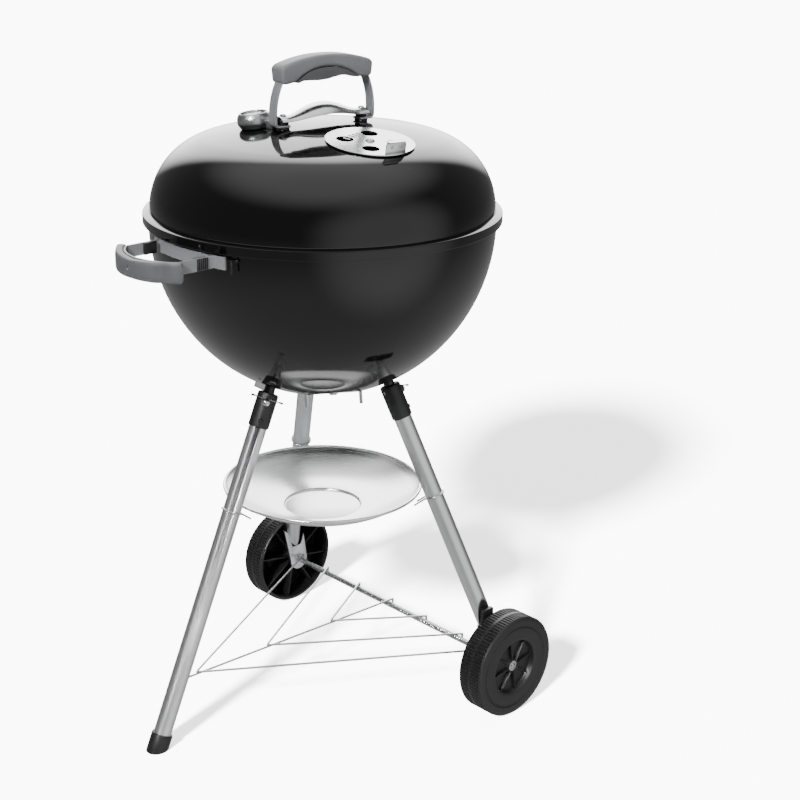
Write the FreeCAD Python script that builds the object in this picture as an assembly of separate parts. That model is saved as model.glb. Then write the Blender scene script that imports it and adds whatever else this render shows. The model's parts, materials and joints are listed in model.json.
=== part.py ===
"""Kettle charcoal grill on three legs, with two wheels, an ash dish and a wire rack.

Millimetres, +Z up, floor at z = 0. Wheels stand at +Y, the capped front leg and
the bowl handle at -Y, and the wheel axle runs along X. The pieces are modelled
about the kettle's own axis and moved as a whole, so that the origin is the
middle of the grill's footprint.
"""
import FreeCAD
import Part
import os
from math import asin, atan, cos, degrees, hypot, pi, radians, sin, sqrt

V = FreeCAD.Vector
UP = V(0, 0, 1)

# ---- kettle shell ----
SHEET = 1.5               # enamelled steel, bowl and lid
RIM_Z = 728.5             # top outer edge of the lid's lip
LIP_RADIUS = 246.5
LIP_SKIRT = 12.0          # height of the lid's lip
LEDGE_RISE = 2.0          # the ledge climbs this much from lip to lid wall
BOWL_RADIUS = 238.8
BOWL_WALL = 13.0          # straight wall between rim height and the round part
BOWL_ROUND = 247.0        # depth of the round part
BOWL_FLAT = 6.0           # pressed flat at the bottom's middle
BEAD = 3.0                # radius of the bowl's rolled rim
LID_RADIUS = 236.8
LID_WALL = 2.8
LID_KNUCKLE = 100.2       # corner radius between wall and crown
LID_CROWN = 800.0         # crown radius
LID_GAP = 0.3             # lid ledge over the rolled rim
LID_TURN = -8.0           # how the lid happens to sit, degrees

# ---- vents ----
LID_VENT_OUT = 112.0      # lid vent from the kettle axis
LID_VENT_PAD = 44.0
LID_DAMPER_RADIUS = 59.0
LID_DAMPER_SHEET = 1.5
LID_HOLE = 11.5
LID_HOLE_RING = 33.0
LID_HOLE_START = -33.0
TAB_WIDTH = 31.0
TAB_HEIGHT = 18.0
BOWL_VENT_OUT = 77.0
BOWL_VENT_PAD = 42.0
BOWL_DAMPER_RADIUS = 40.0
BOWL_DAMPER_SHEET = 1.2
BOWL_HOLE = 10.0
BOWL_HOLE_RING = 23.0
BOWL_TAB_WIDTH = 18.0
BOWL_TAB_HEIGHT = 18.0
VENT_ANGLES = {"front_right": -30.0, "rear": 90.0, "front_left": 210.0}
PAD_STEP = 0.4            # edge of a pressed bowl pad
PIVOT = 2.5               # rivet shank radius
PIVOT_HEAD = 6.5
RUN_FIT = 0.08            # radial, on turning and sliding fits
FACE_GAP = 0.3            # between faces that move past each other

# ---- lid handle ----
HANDLE_REACH = 77.0       # half the distance over the strap's legs at the lid
STRAP = 3.0
STRAP_WIDTH = 18.0
FOOT_LENGTH = 22.0
FOOT_LIFT = 2.0           # foot plate over the lid
GRIP_HALF = 73.0
GRIP_BOTTOM = 904.0
GRIP_TOP = 938.0
GRIP_WIDTH = 30.0
SHIELD_TOP = 874.0
SHIELD_SHEET = 1.2
SHIELD_SPREAD = 58.0      # half angle the shield wraps, degrees
FOOT_PAD = 9.0            # radius of the washer under each foot
SPACER_RADIUS = 8.0
SPACER_HEIGHT = 8.0
SCREW = 2.5               # screw shank radius
SCREW_HEAD = 5.0

# ---- thermometer ----
GAUGE_OUT = 91.0
GAUGE_ANGLE = -119.0      # from the handle-square direction of the lid
GAUGE_RADIUS = 23.0
GAUGE_HEIGHT = 21.0
DIAL_RADIUS = 17.0
PROBE_LENGTH = 45.0

# ---- bowl handle ----
GRIP_CHORD = 71.0         # half length
GRIP_BOW = 35.0           # how far the middle stands out beyond the ends
GRIP_REACH = 326.0        # front of the grip from the kettle axis
GRIP_THICK = 12.0
GRIP_LOW = 686.0
GRIP_HIGH = 714.0
ARM_X = 58.0
ARM_SHEET = 2.5
ARM_HEIGHT = 16.5
ARM_TOP = 712.0
BAR_ANGLE = 18.3          # half angle of the bar along the bowl

# ---- grates ----
GRATE_Z = 683.0
GRATE_ROD = 3.0
GRATE_WIRE = 2.0
GRATE_PITCH = 17.0
GRATE_RIM = 222.0
GRATE_LUG = 16.0          # how far each welded lug stands in from the bowl
COAL_Z = 560.0
COAL_ROD = 3.0
COAL_PITCH = 28.0

# ---- legs ----
LEG_RADIUS = 12.7
LEG_SHEET = 1.3
LEG_SPREAD = 309.0        # leg axis from the kettle axis, at the floor
LEG_SLOPE = 0.4352        # inward run for each unit of height
LEG_ANGLES = {"front": -90.0, "right": 30.0, "left": 150.0}
COLLAR_RADIUS = 14.75
COLLAR_LENGTH = 50.0
COLLAR_DROP = 8.0         # stub showing between bowl and collar
STUB_RADIUS = 8.0
PLUG_LENGTH = 60.0
FACE_TURN = 49.0          # button and bolt face, from straight outwards
BOLT_DOWN = 13.0
BUTTON_DOWN = 40.0
BUTTON_RADIUS = 3.5
BUTTON_STAND = 2.6
BUTTON_TRAVEL = 3.0
CLIP_DOWN = 8.0
CLIP_WIRE = 0.9
CLIP_LENGTH = 43.0
CAP_RADIUS = 15.2
CAP_HEIGHT = 22.0

# ---- wheels and axle ----
WHEEL_RADIUS = 76.0
WHEEL_WIDTH = 42.0
WHEEL_OUT = 266.0         # outer face from the middle
AXLE_RADIUS = 4.2
HUB_RADIUS = 11.0
HUB_RECESS = 40.0         # radius of the recess in the outer face
RECESS_DEPTH = 8.0
TREAD_WALL = 6.0
SPOKES = 8
PLATE_SHEET = 4.0
PLATE_GAP = 5.0           # leg plate to wheel
PUSH_NUT = 8.0

# ---- ash dish and rack ----
DISH_RADIUS = 145.0
DISH_Z = 320.4
DISH_STEP = 55.7
DISH_STEP_Z = 285.5
DISH_SHEET = 1.2
DISH_BEAD = 2.2
RING_WIRE = 1.3
RACK_WIRE = 1.6
RACK_RISE = 0.028
RACK_APEXES = (20.0, -105.0, -234.0)
RACK_ENDS = (71.0, 147.0, 209.0)
RACK_PAST = 9.0           # wire past the axle

# ---- worked out ----
ROUND_Z = RIM_Z - BOWL_WALL
BEAD_R = BOWL_RADIUS + 0.7
LEDGE_SLOPE = LEDGE_RISE / (LIP_RADIUS - LID_RADIUS)
LEDGE_OVER_BEAD = RIM_Z - SHEET + LEDGE_SLOPE * (LIP_RADIUS - SHEET - BEAD_R)
BEAD_Z = LEDGE_OVER_BEAD - hypot(1.0, LEDGE_SLOPE) * (BEAD + LID_GAP)
KNUCKLE_Z = RIM_Z + LEDGE_RISE + LID_WALL - 2.0
KNUCKLE_R = LID_RADIUS - LID_KNUCKLE
CROWN_Z = KNUCKLE_Z - sqrt((LID_CROWN - LID_KNUCKLE) ** 2 - KNUCKLE_R ** 2)
AXLE_Y = 0.5 * (LEG_SPREAD - LEG_SLOPE * WHEEL_RADIUS)
AXIS_Y = 0.5 * (GRIP_REACH - LIP_RADIUS)
LEG_STRETCH = hypot(1.0, LEG_SLOPE)


def line(a, b):
    return Part.LineSegment(a, b).toShape()


def arc(a, middle, b):
    return Part.Arc(a, middle, b).toShape()


def wire(edges):
    return Part.Wire(Part.__sortEdges__(edges))


def outline(points):
    """Closed flat face from corner points."""
    return Part.Face(Part.makePolygon(points + [points[0]]))


def spun(edges):
    """Solid of revolution about Z from edges in the XZ plane."""
    return Part.Face(wire(edges)).revolve(V(0, 0, 0), UP, 360)


def lathe(pairs):
    """Solid of revolution from (radius, height) corners."""
    return outline([V(r, 0, z) for r, z in pairs]).revolve(V(0, 0, 0), UP, 360)


def rod(a, b, radius):
    return Part.makeCylinder(radius, (b - a).Length, a, b - a)


def block(low, high):
    return Part.makeBox(high.x - low.x, high.y - low.y, high.z - low.z, low)


def turned(shape, degrees_about_z, centre=V(0, 0, 0)):
    copy = shape.copy()
    copy.rotate(centre, UP, degrees_about_z)
    return copy


def seated(shape, point, normal, along):
    """Put a shape's origin on a point, its Z on a normal and its X near a direction."""
    side = normal.cross(along)
    copy = shape.copy()
    turn = FreeCAD.Rotation(side.cross(normal), side, normal, "ZXY")
    copy.Placement = FreeCAD.Placement(point, turn).multiply(copy.Placement)
    return copy


def bowl_depth(radius, sheet=0.0):
    """Height of the bowl's round surface at a distance from the axis."""
    share = radius / (BOWL_RADIUS - sheet)
    return ROUND_Z - (BOWL_ROUND - sheet) * sqrt(1.0 - share * share)


def crown_height(radius, sheet=0.0):
    return CROWN_Z + sqrt((LID_CROWN - sheet) ** 2 - radius * radius)


def round_edge(sheet):
    """Quarter ellipse of the bowl, from its wall to the middle of its bottom."""
    side = V(BOWL_RADIUS - sheet, 0, ROUND_Z)
    bottom = V(0, 0, ROUND_Z - BOWL_ROUND + sheet)
    longer, shorter = side, bottom
    if BOWL_ROUND > BOWL_RADIUS:
        longer, shorter = bottom, side
    curve = Part.Ellipse(longer, shorter, V(0, 0, ROUND_Z))
    return Part.ArcOfEllipse(curve, 0, pi / 2).toShape()


def bowl_normal(radius):
    """Outward normal of the bowl in the XZ plane."""
    height = ROUND_Z - bowl_depth(radius)
    normal = V(radius / BOWL_RADIUS ** 2, 0, -height / BOWL_ROUND ** 2)
    return normal.normalize()


def holes(count, hole, ring, start, low, high):
    """Round cutters on a ring."""
    cutters = []
    for index in range(count):
        angle = radians(start + index * 360.0 / count)
        cutters.append(rod(V(ring * cos(angle), ring * sin(angle), low),
                           V(ring * cos(angle), ring * sin(angle), high), hole))
    return cutters


def flattened(shell, pad, sag, point, normal, along, cutters):
    """Press a flat round pad with holes into a domed shell."""
    mouth = seated(rod(V(0, 0, -30), V(0, 0, 12), pad), point, normal, along)
    disc = rod(V(0, 0, -sag - SHEET), V(0, 0, -sag), pad + 1.2)
    for cutter in cutters:
        disc = disc.cut(cutter)
    return shell.cut(mouth).fuse(seated(disc, point, normal, along)).removeSplitter()


def damper(radius, sheet, cutters):
    disc = rod(V(0, 0, 0), V(0, 0, sheet), radius)
    for cutter in cutters:
        disc = disc.cut(cutter)
    return disc.cut(rod(V(0, 0, -1), V(0, 0, sheet + 1), PIVOT + RUN_FIT))


def tab(radius, width, sheet, height):
    """Upright tab on a damper's edge."""
    inner = sqrt(radius ** 2 - (width / 2) ** 2) - sheet
    return block(V(inner - 1.0, -width / 2, 0), V(inner + sheet, width / 2, sheet)).fuse(
        block(V(inner, -width / 2, 0), V(inner + sheet, width / 2, height)))


def rivet(low, high):
    """Pivot rivet: shank between a head above high and a washer below low."""
    shank = rod(V(0, 0, low - 2.0), V(0, 0, high + FACE_GAP + 1.0), PIVOT)
    head = Part.makeCone(PIVOT_HEAD, PIVOT_HEAD - 2.5, 2.5, V(0, 0, high + FACE_GAP), UP)
    washer = rod(V(0, 0, low - 2.0), V(0, 0, low), PIVOT_HEAD)
    return shank.fuse(head).fuse(washer).removeSplitter()


# ---- bowl ----
def vent_sag():
    """Depth of a pressed vent pad, a little under the bowl's skin all round."""
    return BOWL_VENT_PAD ** 2 * BOWL_ROUND / (2 * BOWL_RADIUS ** 2) + PAD_STEP


def vent_seat(shape, angle):
    """Place a shape made at the origin on a bowl vent."""
    normal = bowl_normal(BOWL_VENT_OUT)
    point = V(BOWL_VENT_OUT, 0, bowl_depth(BOWL_VENT_OUT))
    return turned(seated(shape, point, normal, V(0, 1, 0)), angle)


def vent_cutters(low, high):
    return holes(3, BOWL_HOLE, BOWL_HOLE_RING, 90, low, high)


def make_bowl():
    wall_top = V(BOWL_RADIUS, 0, BEAD_Z)
    edges = [round_edge(0), round_edge(SHEET), line(V(BOWL_RADIUS, 0, ROUND_Z), wall_top)]
    edges.append(line(V(BOWL_RADIUS - SHEET, 0, ROUND_Z), V(BOWL_RADIUS - SHEET, 0, BEAD_Z)))
    edges.append(line(wall_top, V(BOWL_RADIUS - SHEET, 0, BEAD_Z)))
    bottom = ROUND_Z - BOWL_ROUND
    edges.append(line(V(0, 0, bottom), V(0, 0, bottom + SHEET)))
    shell = spun(edges)
    shell = shell.fuse(Part.makeTorus(BEAD_R, BEAD, V(0, 0, BEAD_Z), UP))
    flat = rod(V(0, 0, bottom - 0.1), V(0, 0, bottom + SHEET + 0.2), BOWL_FLAT)
    shell = shell.fuse(flat).removeSplitter()
    sag = vent_sag()
    cutters = vent_cutters(-20, 10)
    cutters.append(rod(V(0, 0, -20), V(0, 0, 10), PIVOT))
    normal = bowl_normal(BOWL_VENT_OUT)
    for angle in VENT_ANGLES.values():
        direction = turned(Part.Vertex(normal), angle).Point
        along = turned(Part.Vertex(V(0, 1, 0)), angle).Point
        point = turned(Part.Vertex(V(BOWL_VENT_OUT, 0, bowl_depth(BOWL_VENT_OUT))), angle).Point
        shell = flattened(shell, BOWL_VENT_PAD, sag, point, direction, along, cutters)
    return shell.removeSplitter()


def filled_bowl(depth):
    """All that lies inside the bowl's outer skin, less a depth of steel."""
    return spun([round_edge(depth), line(V(0, 0, ROUND_Z), V(BOWL_RADIUS - depth, 0, ROUND_Z)),
                 line(V(0, 0, ROUND_Z), V(0, 0, ROUND_Z - BOWL_ROUND + depth))])


def make_grate_lugs():
    """Steps welded inside the bowl, that carry the cooking grate."""
    top = GRATE_Z - GRATE_ROD - FACE_GAP
    outer = BOWL_RADIUS
    lug = block(V(outer - GRATE_LUG - 3, -10, top - 2), V(outer, 10, top))
    lug = lug.fuse(block(V(outer - GRATE_LUG - 3, -1, top - 16), V(outer, 1, top - 1)))
    lug = lug.common(filled_bowl(SHEET))
    return Part.makeCompound([turned(lug, 45 + 90 * index) for index in range(4)])


def make_vent_damper(angle):
    sag = vent_sag()
    disc = damper(BOWL_DAMPER_RADIUS, BOWL_DAMPER_SHEET, vent_cutters(-1, 5))
    ear = tab(BOWL_DAMPER_RADIUS, BOWL_TAB_WIDTH, BOWL_DAMPER_SHEET, BOWL_TAB_HEIGHT)
    disc = disc.fuse(ear).fuse(turned(ear, 180)).removeSplitter()
    disc.translate(V(0, 0, FACE_GAP - sag))
    return vent_seat(disc, angle)


def make_vent_rivets():
    sag = vent_sag()
    piece = rivet(-sag - SHEET, -sag + FACE_GAP + BOWL_DAMPER_SHEET)
    return Part.makeCompound([vent_seat(piece, angle) for angle in VENT_ANGLES.values()])


# ---- lid ----
def on_lid(shape):
    return turned(shape, LID_TURN)


def dome_edges(sheet):
    """Knuckle and crown arcs of the lid, from the wall to the top."""
    knuckle = LID_KNUCKLE - sheet
    crown = LID_CROWN - sheet
    lean = asin(KNUCKLE_R / (LID_CROWN - LID_KNUCKLE))
    start = V(LID_RADIUS - sheet, 0, KNUCKLE_Z)
    join = V(KNUCKLE_R + knuckle * sin(lean), 0, KNUCKLE_Z + knuckle * cos(lean))
    half = (pi / 2 + lean) / 2
    middle = V(KNUCKLE_R + knuckle * sin(half), 0, KNUCKLE_Z + knuckle * cos(half))
    top = V(0, 0, CROWN_Z + crown)
    over = V(crown * sin(lean / 2), 0, CROWN_Z + crown * cos(lean / 2))
    return [arc(start, middle, join), arc(join, over, top)]


def lid_vent_sag():
    return LID_VENT_PAD ** 2 / (2 * LID_CROWN)


def lid_vent_point():
    return V(LID_VENT_OUT, 0, crown_height(LID_VENT_OUT))


def lid_vent_normal():
    return (lid_vent_point() - V(0, 0, CROWN_Z)).normalize()


def lid_vent_seat(shape):
    return on_lid(seated(shape, lid_vent_point(), lid_vent_normal(), V(1, 0, 0)))


def gauge_seat(shape):
    """Place a shape made at the origin on the thermometer's spot."""
    point = V(GAUGE_OUT, 0, crown_height(GAUGE_OUT))
    normal = (point - V(0, 0, CROWN_Z)).normalize()
    return on_lid(turned(seated(shape, point, normal, V(1, 0, 0)), GAUGE_ANGLE))


def screw_y():
    return HANDLE_REACH - FOOT_LENGTH / 2 - STRAP


def make_lid():
    skirt = RIM_Z - LIP_SKIRT
    under = RIM_Z - SHEET
    inner = LID_RADIUS - SHEET
    lip = LIP_RADIUS - SHEET
    corners = [(LID_RADIUS, KNUCKLE_Z), (LID_RADIUS, RIM_Z + LEDGE_RISE), (LIP_RADIUS, RIM_Z),
               (LIP_RADIUS, skirt), (lip, skirt), (lip, under), (inner, under + LEDGE_RISE),
               (inner, KNUCKLE_Z)]
    points = [V(r, 0, z) for r, z in corners]
    edges = [line(a, b) for a, b in zip(points, points[1:])]
    top = CROWN_Z + LID_CROWN
    edges += dome_edges(0) + dome_edges(SHEET) + [line(V(0, 0, top - SHEET), V(0, 0, top))]
    shell = spun(edges)
    cutters = holes(4, LID_HOLE, LID_HOLE_RING, LID_HOLE_START, -30, 12)
    cutters.append(rod(V(0, 0, -30), V(0, 0, 12), PIVOT))
    shell = flattened(shell, LID_VENT_PAD, lid_vent_sag(), lid_vent_point(), lid_vent_normal(),
                      V(1, 0, 0), cutters)
    for side in (-1, 1):
        shell = shell.cut(rod(V(0, side * screw_y(), 700), V(0, side * screw_y(), 900), SCREW))
    shell = on_lid(shell)
    return shell.cut(gauge_seat(rod(V(0, 0, -20), V(0, 0, 10), 3.0)))


def make_lid_damper():
    disc = damper(LID_DAMPER_RADIUS, LID_DAMPER_SHEET,
                  holes(4, LID_HOLE, LID_HOLE_RING, LID_HOLE_START, -1, 5))
    disc = disc.fuse(tab(LID_DAMPER_RADIUS, TAB_WIDTH, LID_DAMPER_SHEET, TAB_HEIGHT)).removeSplitter()
    disc.translate(V(0, 0, FACE_GAP - lid_vent_sag()))
    return lid_vent_seat(disc)


def make_lid_damper_rivet():
    low = -lid_vent_sag() - SHEET
    high = -lid_vent_sag() + FACE_GAP + LID_DAMPER_SHEET
    return lid_vent_seat(rivet(low, high))


def foot_z():
    """Underside of the handle's foot plates."""
    return crown_height(HANDLE_REACH - FOOT_LENGTH) + FOOT_LIFT


def strap_leg():
    """One bowed leg of the strap, standing at +Y."""
    low = foot_z()
    high = 0.5 * (GRIP_BOTTOM + GRIP_TOP) - 4
    foot = HANDLE_REACH + 2
    head = HANDLE_REACH - 13
    bulge = HANDLE_REACH + 1
    middle = low + 0.5 * (high - low)
    edges = [arc(V(0, foot, low), V(0, bulge, middle), V(0, head, high)),
             arc(V(0, foot - STRAP, low), V(0, bulge - STRAP, middle), V(0, head - STRAP, high)),
             line(V(0, foot, low), V(0, foot - STRAP, low)),
             line(V(0, head, high), V(0, head - STRAP, high))]
    face = Part.Face(wire(edges))
    face.translate(V(-STRAP_WIDTH / 2, 0, 0))
    return face.extrude(V(STRAP_WIDTH, 0, 0))


def make_strap():
    low = foot_z()
    high = 0.5 * (GRIP_BOTTOM + GRIP_TOP) - 4
    half = STRAP_WIDTH / 2
    span = HANDLE_REACH - 13
    piece = block(V(-half, -span, high - STRAP), V(half, span, high))
    for side in (0, 180):
        foot = block(V(-half, HANDLE_REACH - FOOT_LENGTH, low), V(half, HANDLE_REACH + 1, low + STRAP))
        foot = foot.cut(rod(V(0, screw_y(), low - 1), V(0, screw_y(), low + STRAP + 1), SCREW))
        piece = piece.fuse(turned(strap_leg().fuse(foot), side))
    return on_lid(piece.removeSplitter())


def grip_parting():
    """Arc that parts the grip from its softer insert, in the YZ plane."""
    half = GRIP_HALF - 22
    return V(0, -half, GRIP_BOTTOM - 3), V(0, 0, GRIP_BOTTOM + 18), V(0, half, GRIP_BOTTOM + 1)


def make_grip():
    left, crest, right = grip_parting()
    shoulder = GRIP_TOP - 12
    heel = V(0, -GRIP_HALF + 2, GRIP_BOTTOM - 1)
    toe = V(0, GRIP_HALF - 2, GRIP_BOTTOM + 1)
    edges = [arc(V(0, -GRIP_HALF, shoulder), V(0, 0, GRIP_TOP), V(0, GRIP_HALF, shoulder)),
             line(V(0, -GRIP_HALF, shoulder), heel), line(heel, left), arc(left, crest, right),
             line(right, toe), line(toe, V(0, GRIP_HALF, shoulder))]
    face = Part.Face(wire(edges))
    face.translate(V(-GRIP_WIDTH / 2, 0, 0))
    body = face.extrude(V(GRIP_WIDTH, 0, 0))
    long_edges = [e for e in body.Edges if e.BoundBox.XLength < 0.01 and e.BoundBox.ZMin > GRIP_BOTTOM + 15
                  and e.BoundBox.YLength > GRIP_HALF]
    body = body.makeFillet(5.0, [e for e in long_edges if e.BoundBox.ZMax > GRIP_TOP - 1])
    return on_lid(body).cut(make_strap())


def make_grip_insert():
    left, crest, right = grip_parting()
    waves = [right, V(0, 32, GRIP_BOTTOM + 5), V(0, 10, GRIP_BOTTOM + 3), V(0, -13, GRIP_BOTTOM),
             V(0, -38, GRIP_BOTTOM + 1.5), left]
    curve = Part.BSplineCurve()
    curve.interpolate(waves)
    face = Part.Face(wire([arc(left, crest, right), curve.toShape()]))
    half = GRIP_WIDTH / 2 - 1.5
    face.translate(V(-half, 0, 0))
    return on_lid(face.extrude(V(2 * half, 0, 0))).cut(make_strap())


def spacer_z():
    return foot_z() + STRAP


def on_both_screws(piece):
    """The same piece round both handle screws, as separate solids."""
    pair = []
    for side in (-1, 1):
        copy = piece.copy()
        copy.translate(V(0, side * screw_y(), 0))
        pair.append(on_lid(copy))
    return Part.makeCompound(pair)


def make_spacers():
    low = spacer_z()
    piece = rod(V(0, 0, low), V(0, 0, low + SPACER_HEIGHT), SPACER_RADIUS)
    return on_both_screws(piece.cut(rod(V(0, 0, low - 1), V(0, 0, low + SPACER_HEIGHT + 1), SCREW)))


def make_foot_pads():
    """Washers between the lid and the handle's feet."""
    high = foot_z()
    pad = rod(V(0, 0, high - 4), V(0, 0, high), FOOT_PAD)
    pad = pad.cut(rod(V(0, 0, high - 5), V(0, 0, high + 1), SCREW))
    return on_both_screws(pad).cut(Part.makeSphere(LID_CROWN, V(0, 0, CROWN_Z)))


def shield_axis():
    """The shield is part of a spindle about this level line."""
    return spacer_z() + SPACER_HEIGHT - sqrt(shield_end() ** 2 - SPACER_RADIUS ** 2)


def shield_end():
    return SPACER_RADIUS + 5.0


def make_shield():
    axis = shield_axis()
    inner_end = shield_end()
    crest = SHIELD_TOP - axis - SHIELD_SHEET
    flat = screw_y() - SPACER_RADIUS
    tip = screw_y() + SPACER_RADIUS - 1.5
    rise = inner_end + 0.62 * (crest - inner_end)
    rows = []
    for extra in (0.0, SHIELD_SHEET):
        curve = Part.BSplineCurve()
        half = flat / 2
        curve.interpolate([V(0, -flat, axis + inner_end + extra), V(0, -half, axis + rise + extra),
                           V(0, 0, axis + crest + extra), V(0, half, axis + rise + extra),
                           V(0, flat, axis + inner_end + extra)],
                          InitialTangent=V(0, 1, 0.1), FinalTangent=V(0, 1, -0.1))
        level = axis + inner_end + extra
        rows += [curve.toShape(), line(V(0, -tip, level), V(0, -flat, level)),
                 line(V(0, flat, level), V(0, tip, level))]
    for y in (-tip, tip):
        rows.append(line(V(0, y, axis + inner_end), V(0, y, axis + inner_end + SHIELD_SHEET)))
    face = Part.Face(wire(rows))
    centre = V(0, 0, axis)
    face.rotate(centre, V(0, 1, 0), -SHIELD_SPREAD)
    piece = face.revolve(centre, V(0, 1, 0), 2 * SHIELD_SPREAD)
    for side in (-1, 1):
        piece = piece.cut(rod(V(0, side * screw_y(), axis), V(0, side * screw_y(), 1000), SCREW))
    return on_lid(piece)


def make_handle_screws():
    top = shield_axis() + shield_end() + SHIELD_SHEET
    low = crown_height(screw_y()) - 12
    piece = rod(V(0, 0, low), V(0, 0, top + 1), SCREW)
    piece = piece.fuse(Part.makeCone(SCREW_HEAD, SCREW_HEAD - 2, 2.5, V(0, 0, top), UP))
    nut_top = crown_height(screw_y() + SCREW_HEAD) - SHEET - 0.4
    return on_both_screws(piece.fuse(rod(V(0, 0, nut_top - 4), V(0, 0, nut_top), SCREW_HEAD)))


# ---- thermometer ----
def make_gauge_bezel():
    r = GAUGE_RADIUS
    h = GAUGE_HEIGHT
    low = r * r / (2 * LID_CROWN) - 0.2
    recess = DIAL_RADIUS + 0.3
    return gauge_seat(lathe([(4.0, low), (r - 4, low), (r, low + 5), (r, h - 5), (r - 4, h), (recess, h),
                             (recess, h - 9), (4.0, h - 9)]))


def make_gauge_dial():
    plate = rod(V(0, 0, GAUGE_HEIGHT - 9), V(0, 0, GAUGE_HEIGHT - 7.8), DIAL_RADIUS)
    return gauge_seat(plate.cut(rod(V(0, 0, 0), V(0, 0, 30), 3.2)))


def make_gauge_stem():
    """Probe, nut under the lid, and the pivot post of the needle, in one turned piece."""
    top = GAUGE_HEIGHT - 7.8
    piece = rod(V(0, 0, -PROBE_LENGTH), V(0, 0, top), 2.8)
    piece = piece.fuse(rod(V(0, 0, -SHEET - 6), V(0, 0, -SHEET - 0.2), 7.0))
    return gauge_seat(piece.fuse(rod(V(0, 0, top - 1), V(0, 0, top + 2.4), 0.9)).removeSplitter())


def make_gauge_needle():
    low = GAUGE_HEIGHT - 7.8 + FACE_GAP
    boss = rod(V(0, 0, low), V(0, 0, low + 1.6), 2.6)
    pointer = outline([V(-5, -1.1, low), V(13.5, -0.3, low), V(13.5, 0.3, low), V(-5, 1.1, low)])
    piece = boss.fuse(pointer.extrude(V(0, 0, 0.8)))
    return gauge_seat(piece.cut(rod(V(0, 0, low - 1), V(0, 0, low + 3), 0.9 + RUN_FIT)).removeSplitter())


def make_gauge_glass():
    return gauge_seat(rod(V(0, 0, GAUGE_HEIGHT - 4), V(0, 0, GAUGE_HEIGHT - 2.2), DIAL_RADIUS + 0.3))


def make_gauge_bracket():
    """Fairing that ties the thermometer to the front foot of the handle."""
    angle = radians(GAUGE_ANGLE)
    gauge = V(GAUGE_OUT * cos(angle), GAUGE_OUT * sin(angle), 0)
    foot = V(0, -screw_y(), 0)
    run = foot - gauge
    low = crown_height(GAUGE_OUT)
    fairing = block(V(0, -8, low), V(run.Length, 8, low + 13))
    turn = degrees(atan(run.y / run.x))
    fairing.rotate(V(0, 0, 0), UP, turn)
    fairing.translate(gauge)
    fairing = fairing.cut(rod(V(gauge.x, gauge.y, low - 20), V(gauge.x, gauge.y, low + 30), GAUGE_RADIUS + 3))
    fairing = fairing.cut(Part.makeSphere(LID_CROWN + 0.2, V(0, 0, CROWN_Z)))
    half = STRAP_WIDTH / 2 + 0.3
    foot_room = block(V(-half, -HANDLE_REACH - 5, low - 5), V(half, FOOT_LENGTH - HANDLE_REACH + 2, low + 20))
    return on_lid(fairing.cut(foot_room))


# ---- bowl handle ----
def bow_radius():
    return (GRIP_CHORD ** 2 + GRIP_BOW ** 2) / (2 * GRIP_BOW)


def bow_band(outer, thick, low, high, half):
    """Upright band bowed towards -Y, cut off square at both ends."""
    middle = -GRIP_REACH + bow_radius()
    band = Part.makeCylinder(outer, high - low, V(0, middle, low), UP)
    band = band.cut(Part.makeCylinder(outer - thick, high - low + 2, V(0, middle, low - 1), UP))
    return band.common(block(V(-half, -GRIP_REACH - 5, low - 1), V(half, middle - 10, high + 1)))


def make_bowl_grip():
    body = bow_band(bow_radius(), GRIP_THICK, GRIP_LOW, GRIP_HIGH, GRIP_CHORD)
    middle = 0.5 * (GRIP_LOW + GRIP_HIGH)
    return body.cut(rod(V(0, -GRIP_REACH - 2, middle), V(0, -200, middle), SCREW))


def make_bowl_bracket():
    low = ARM_TOP - ARM_HEIGHT
    inner = bow_radius() - GRIP_THICK - 0.2
    strap = bow_band(inner, ARM_SHEET, low, ARM_TOP, ARM_X)
    bar = Part.makeCylinder(BOWL_RADIUS + 0.3 + ARM_SHEET, ARM_HEIGHT, V(0, 0, low), UP)
    bar = bar.cut(Part.makeCylinder(BOWL_RADIUS + 0.3, ARM_HEIGHT + 2, V(0, 0, low - 1), UP))
    reach = BOWL_RADIUS * sin(radians(BAR_ANGLE))
    bar = bar.common(block(V(-reach, -BOWL_RADIUS - 10, low - 1), V(reach, -150, ARM_TOP + 1)))
    piece = strap.fuse(bar)
    bow_middle = -GRIP_REACH + bow_radius()
    arm_front = bow_middle - sqrt((inner - 0.6 * ARM_SHEET) ** 2 - ARM_X ** 2)
    arm_back = -sqrt((BOWL_RADIUS + 1.5) ** 2 - ARM_X ** 2)
    for side in (-1, 1):
        low_x = min(side * ARM_X, side * (ARM_X - ARM_SHEET))
        arm = block(V(low_x, arm_front, low), V(low_x + ARM_SHEET, arm_back, ARM_TOP))
        piece = piece.fuse(arm)
    middle = 0.5 * (GRIP_LOW + GRIP_HIGH)
    piece = piece.cut(rod(V(0, -GRIP_REACH - 2, middle), V(0, -BOWL_RADIUS - 20, middle), SCREW))
    return piece.removeSplitter()


def make_bowl_screw():
    middle = 0.5 * (GRIP_LOW + GRIP_HIGH)
    back = -GRIP_REACH + GRIP_THICK + ARM_SHEET + 6
    piece = rod(V(0, -GRIP_REACH + 0.5, middle), V(0, back, middle), SCREW)
    return piece.fuse(rod(V(0, back - 3, middle), V(0, back, middle), SCREW_HEAD)).removeSplitter()


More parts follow.
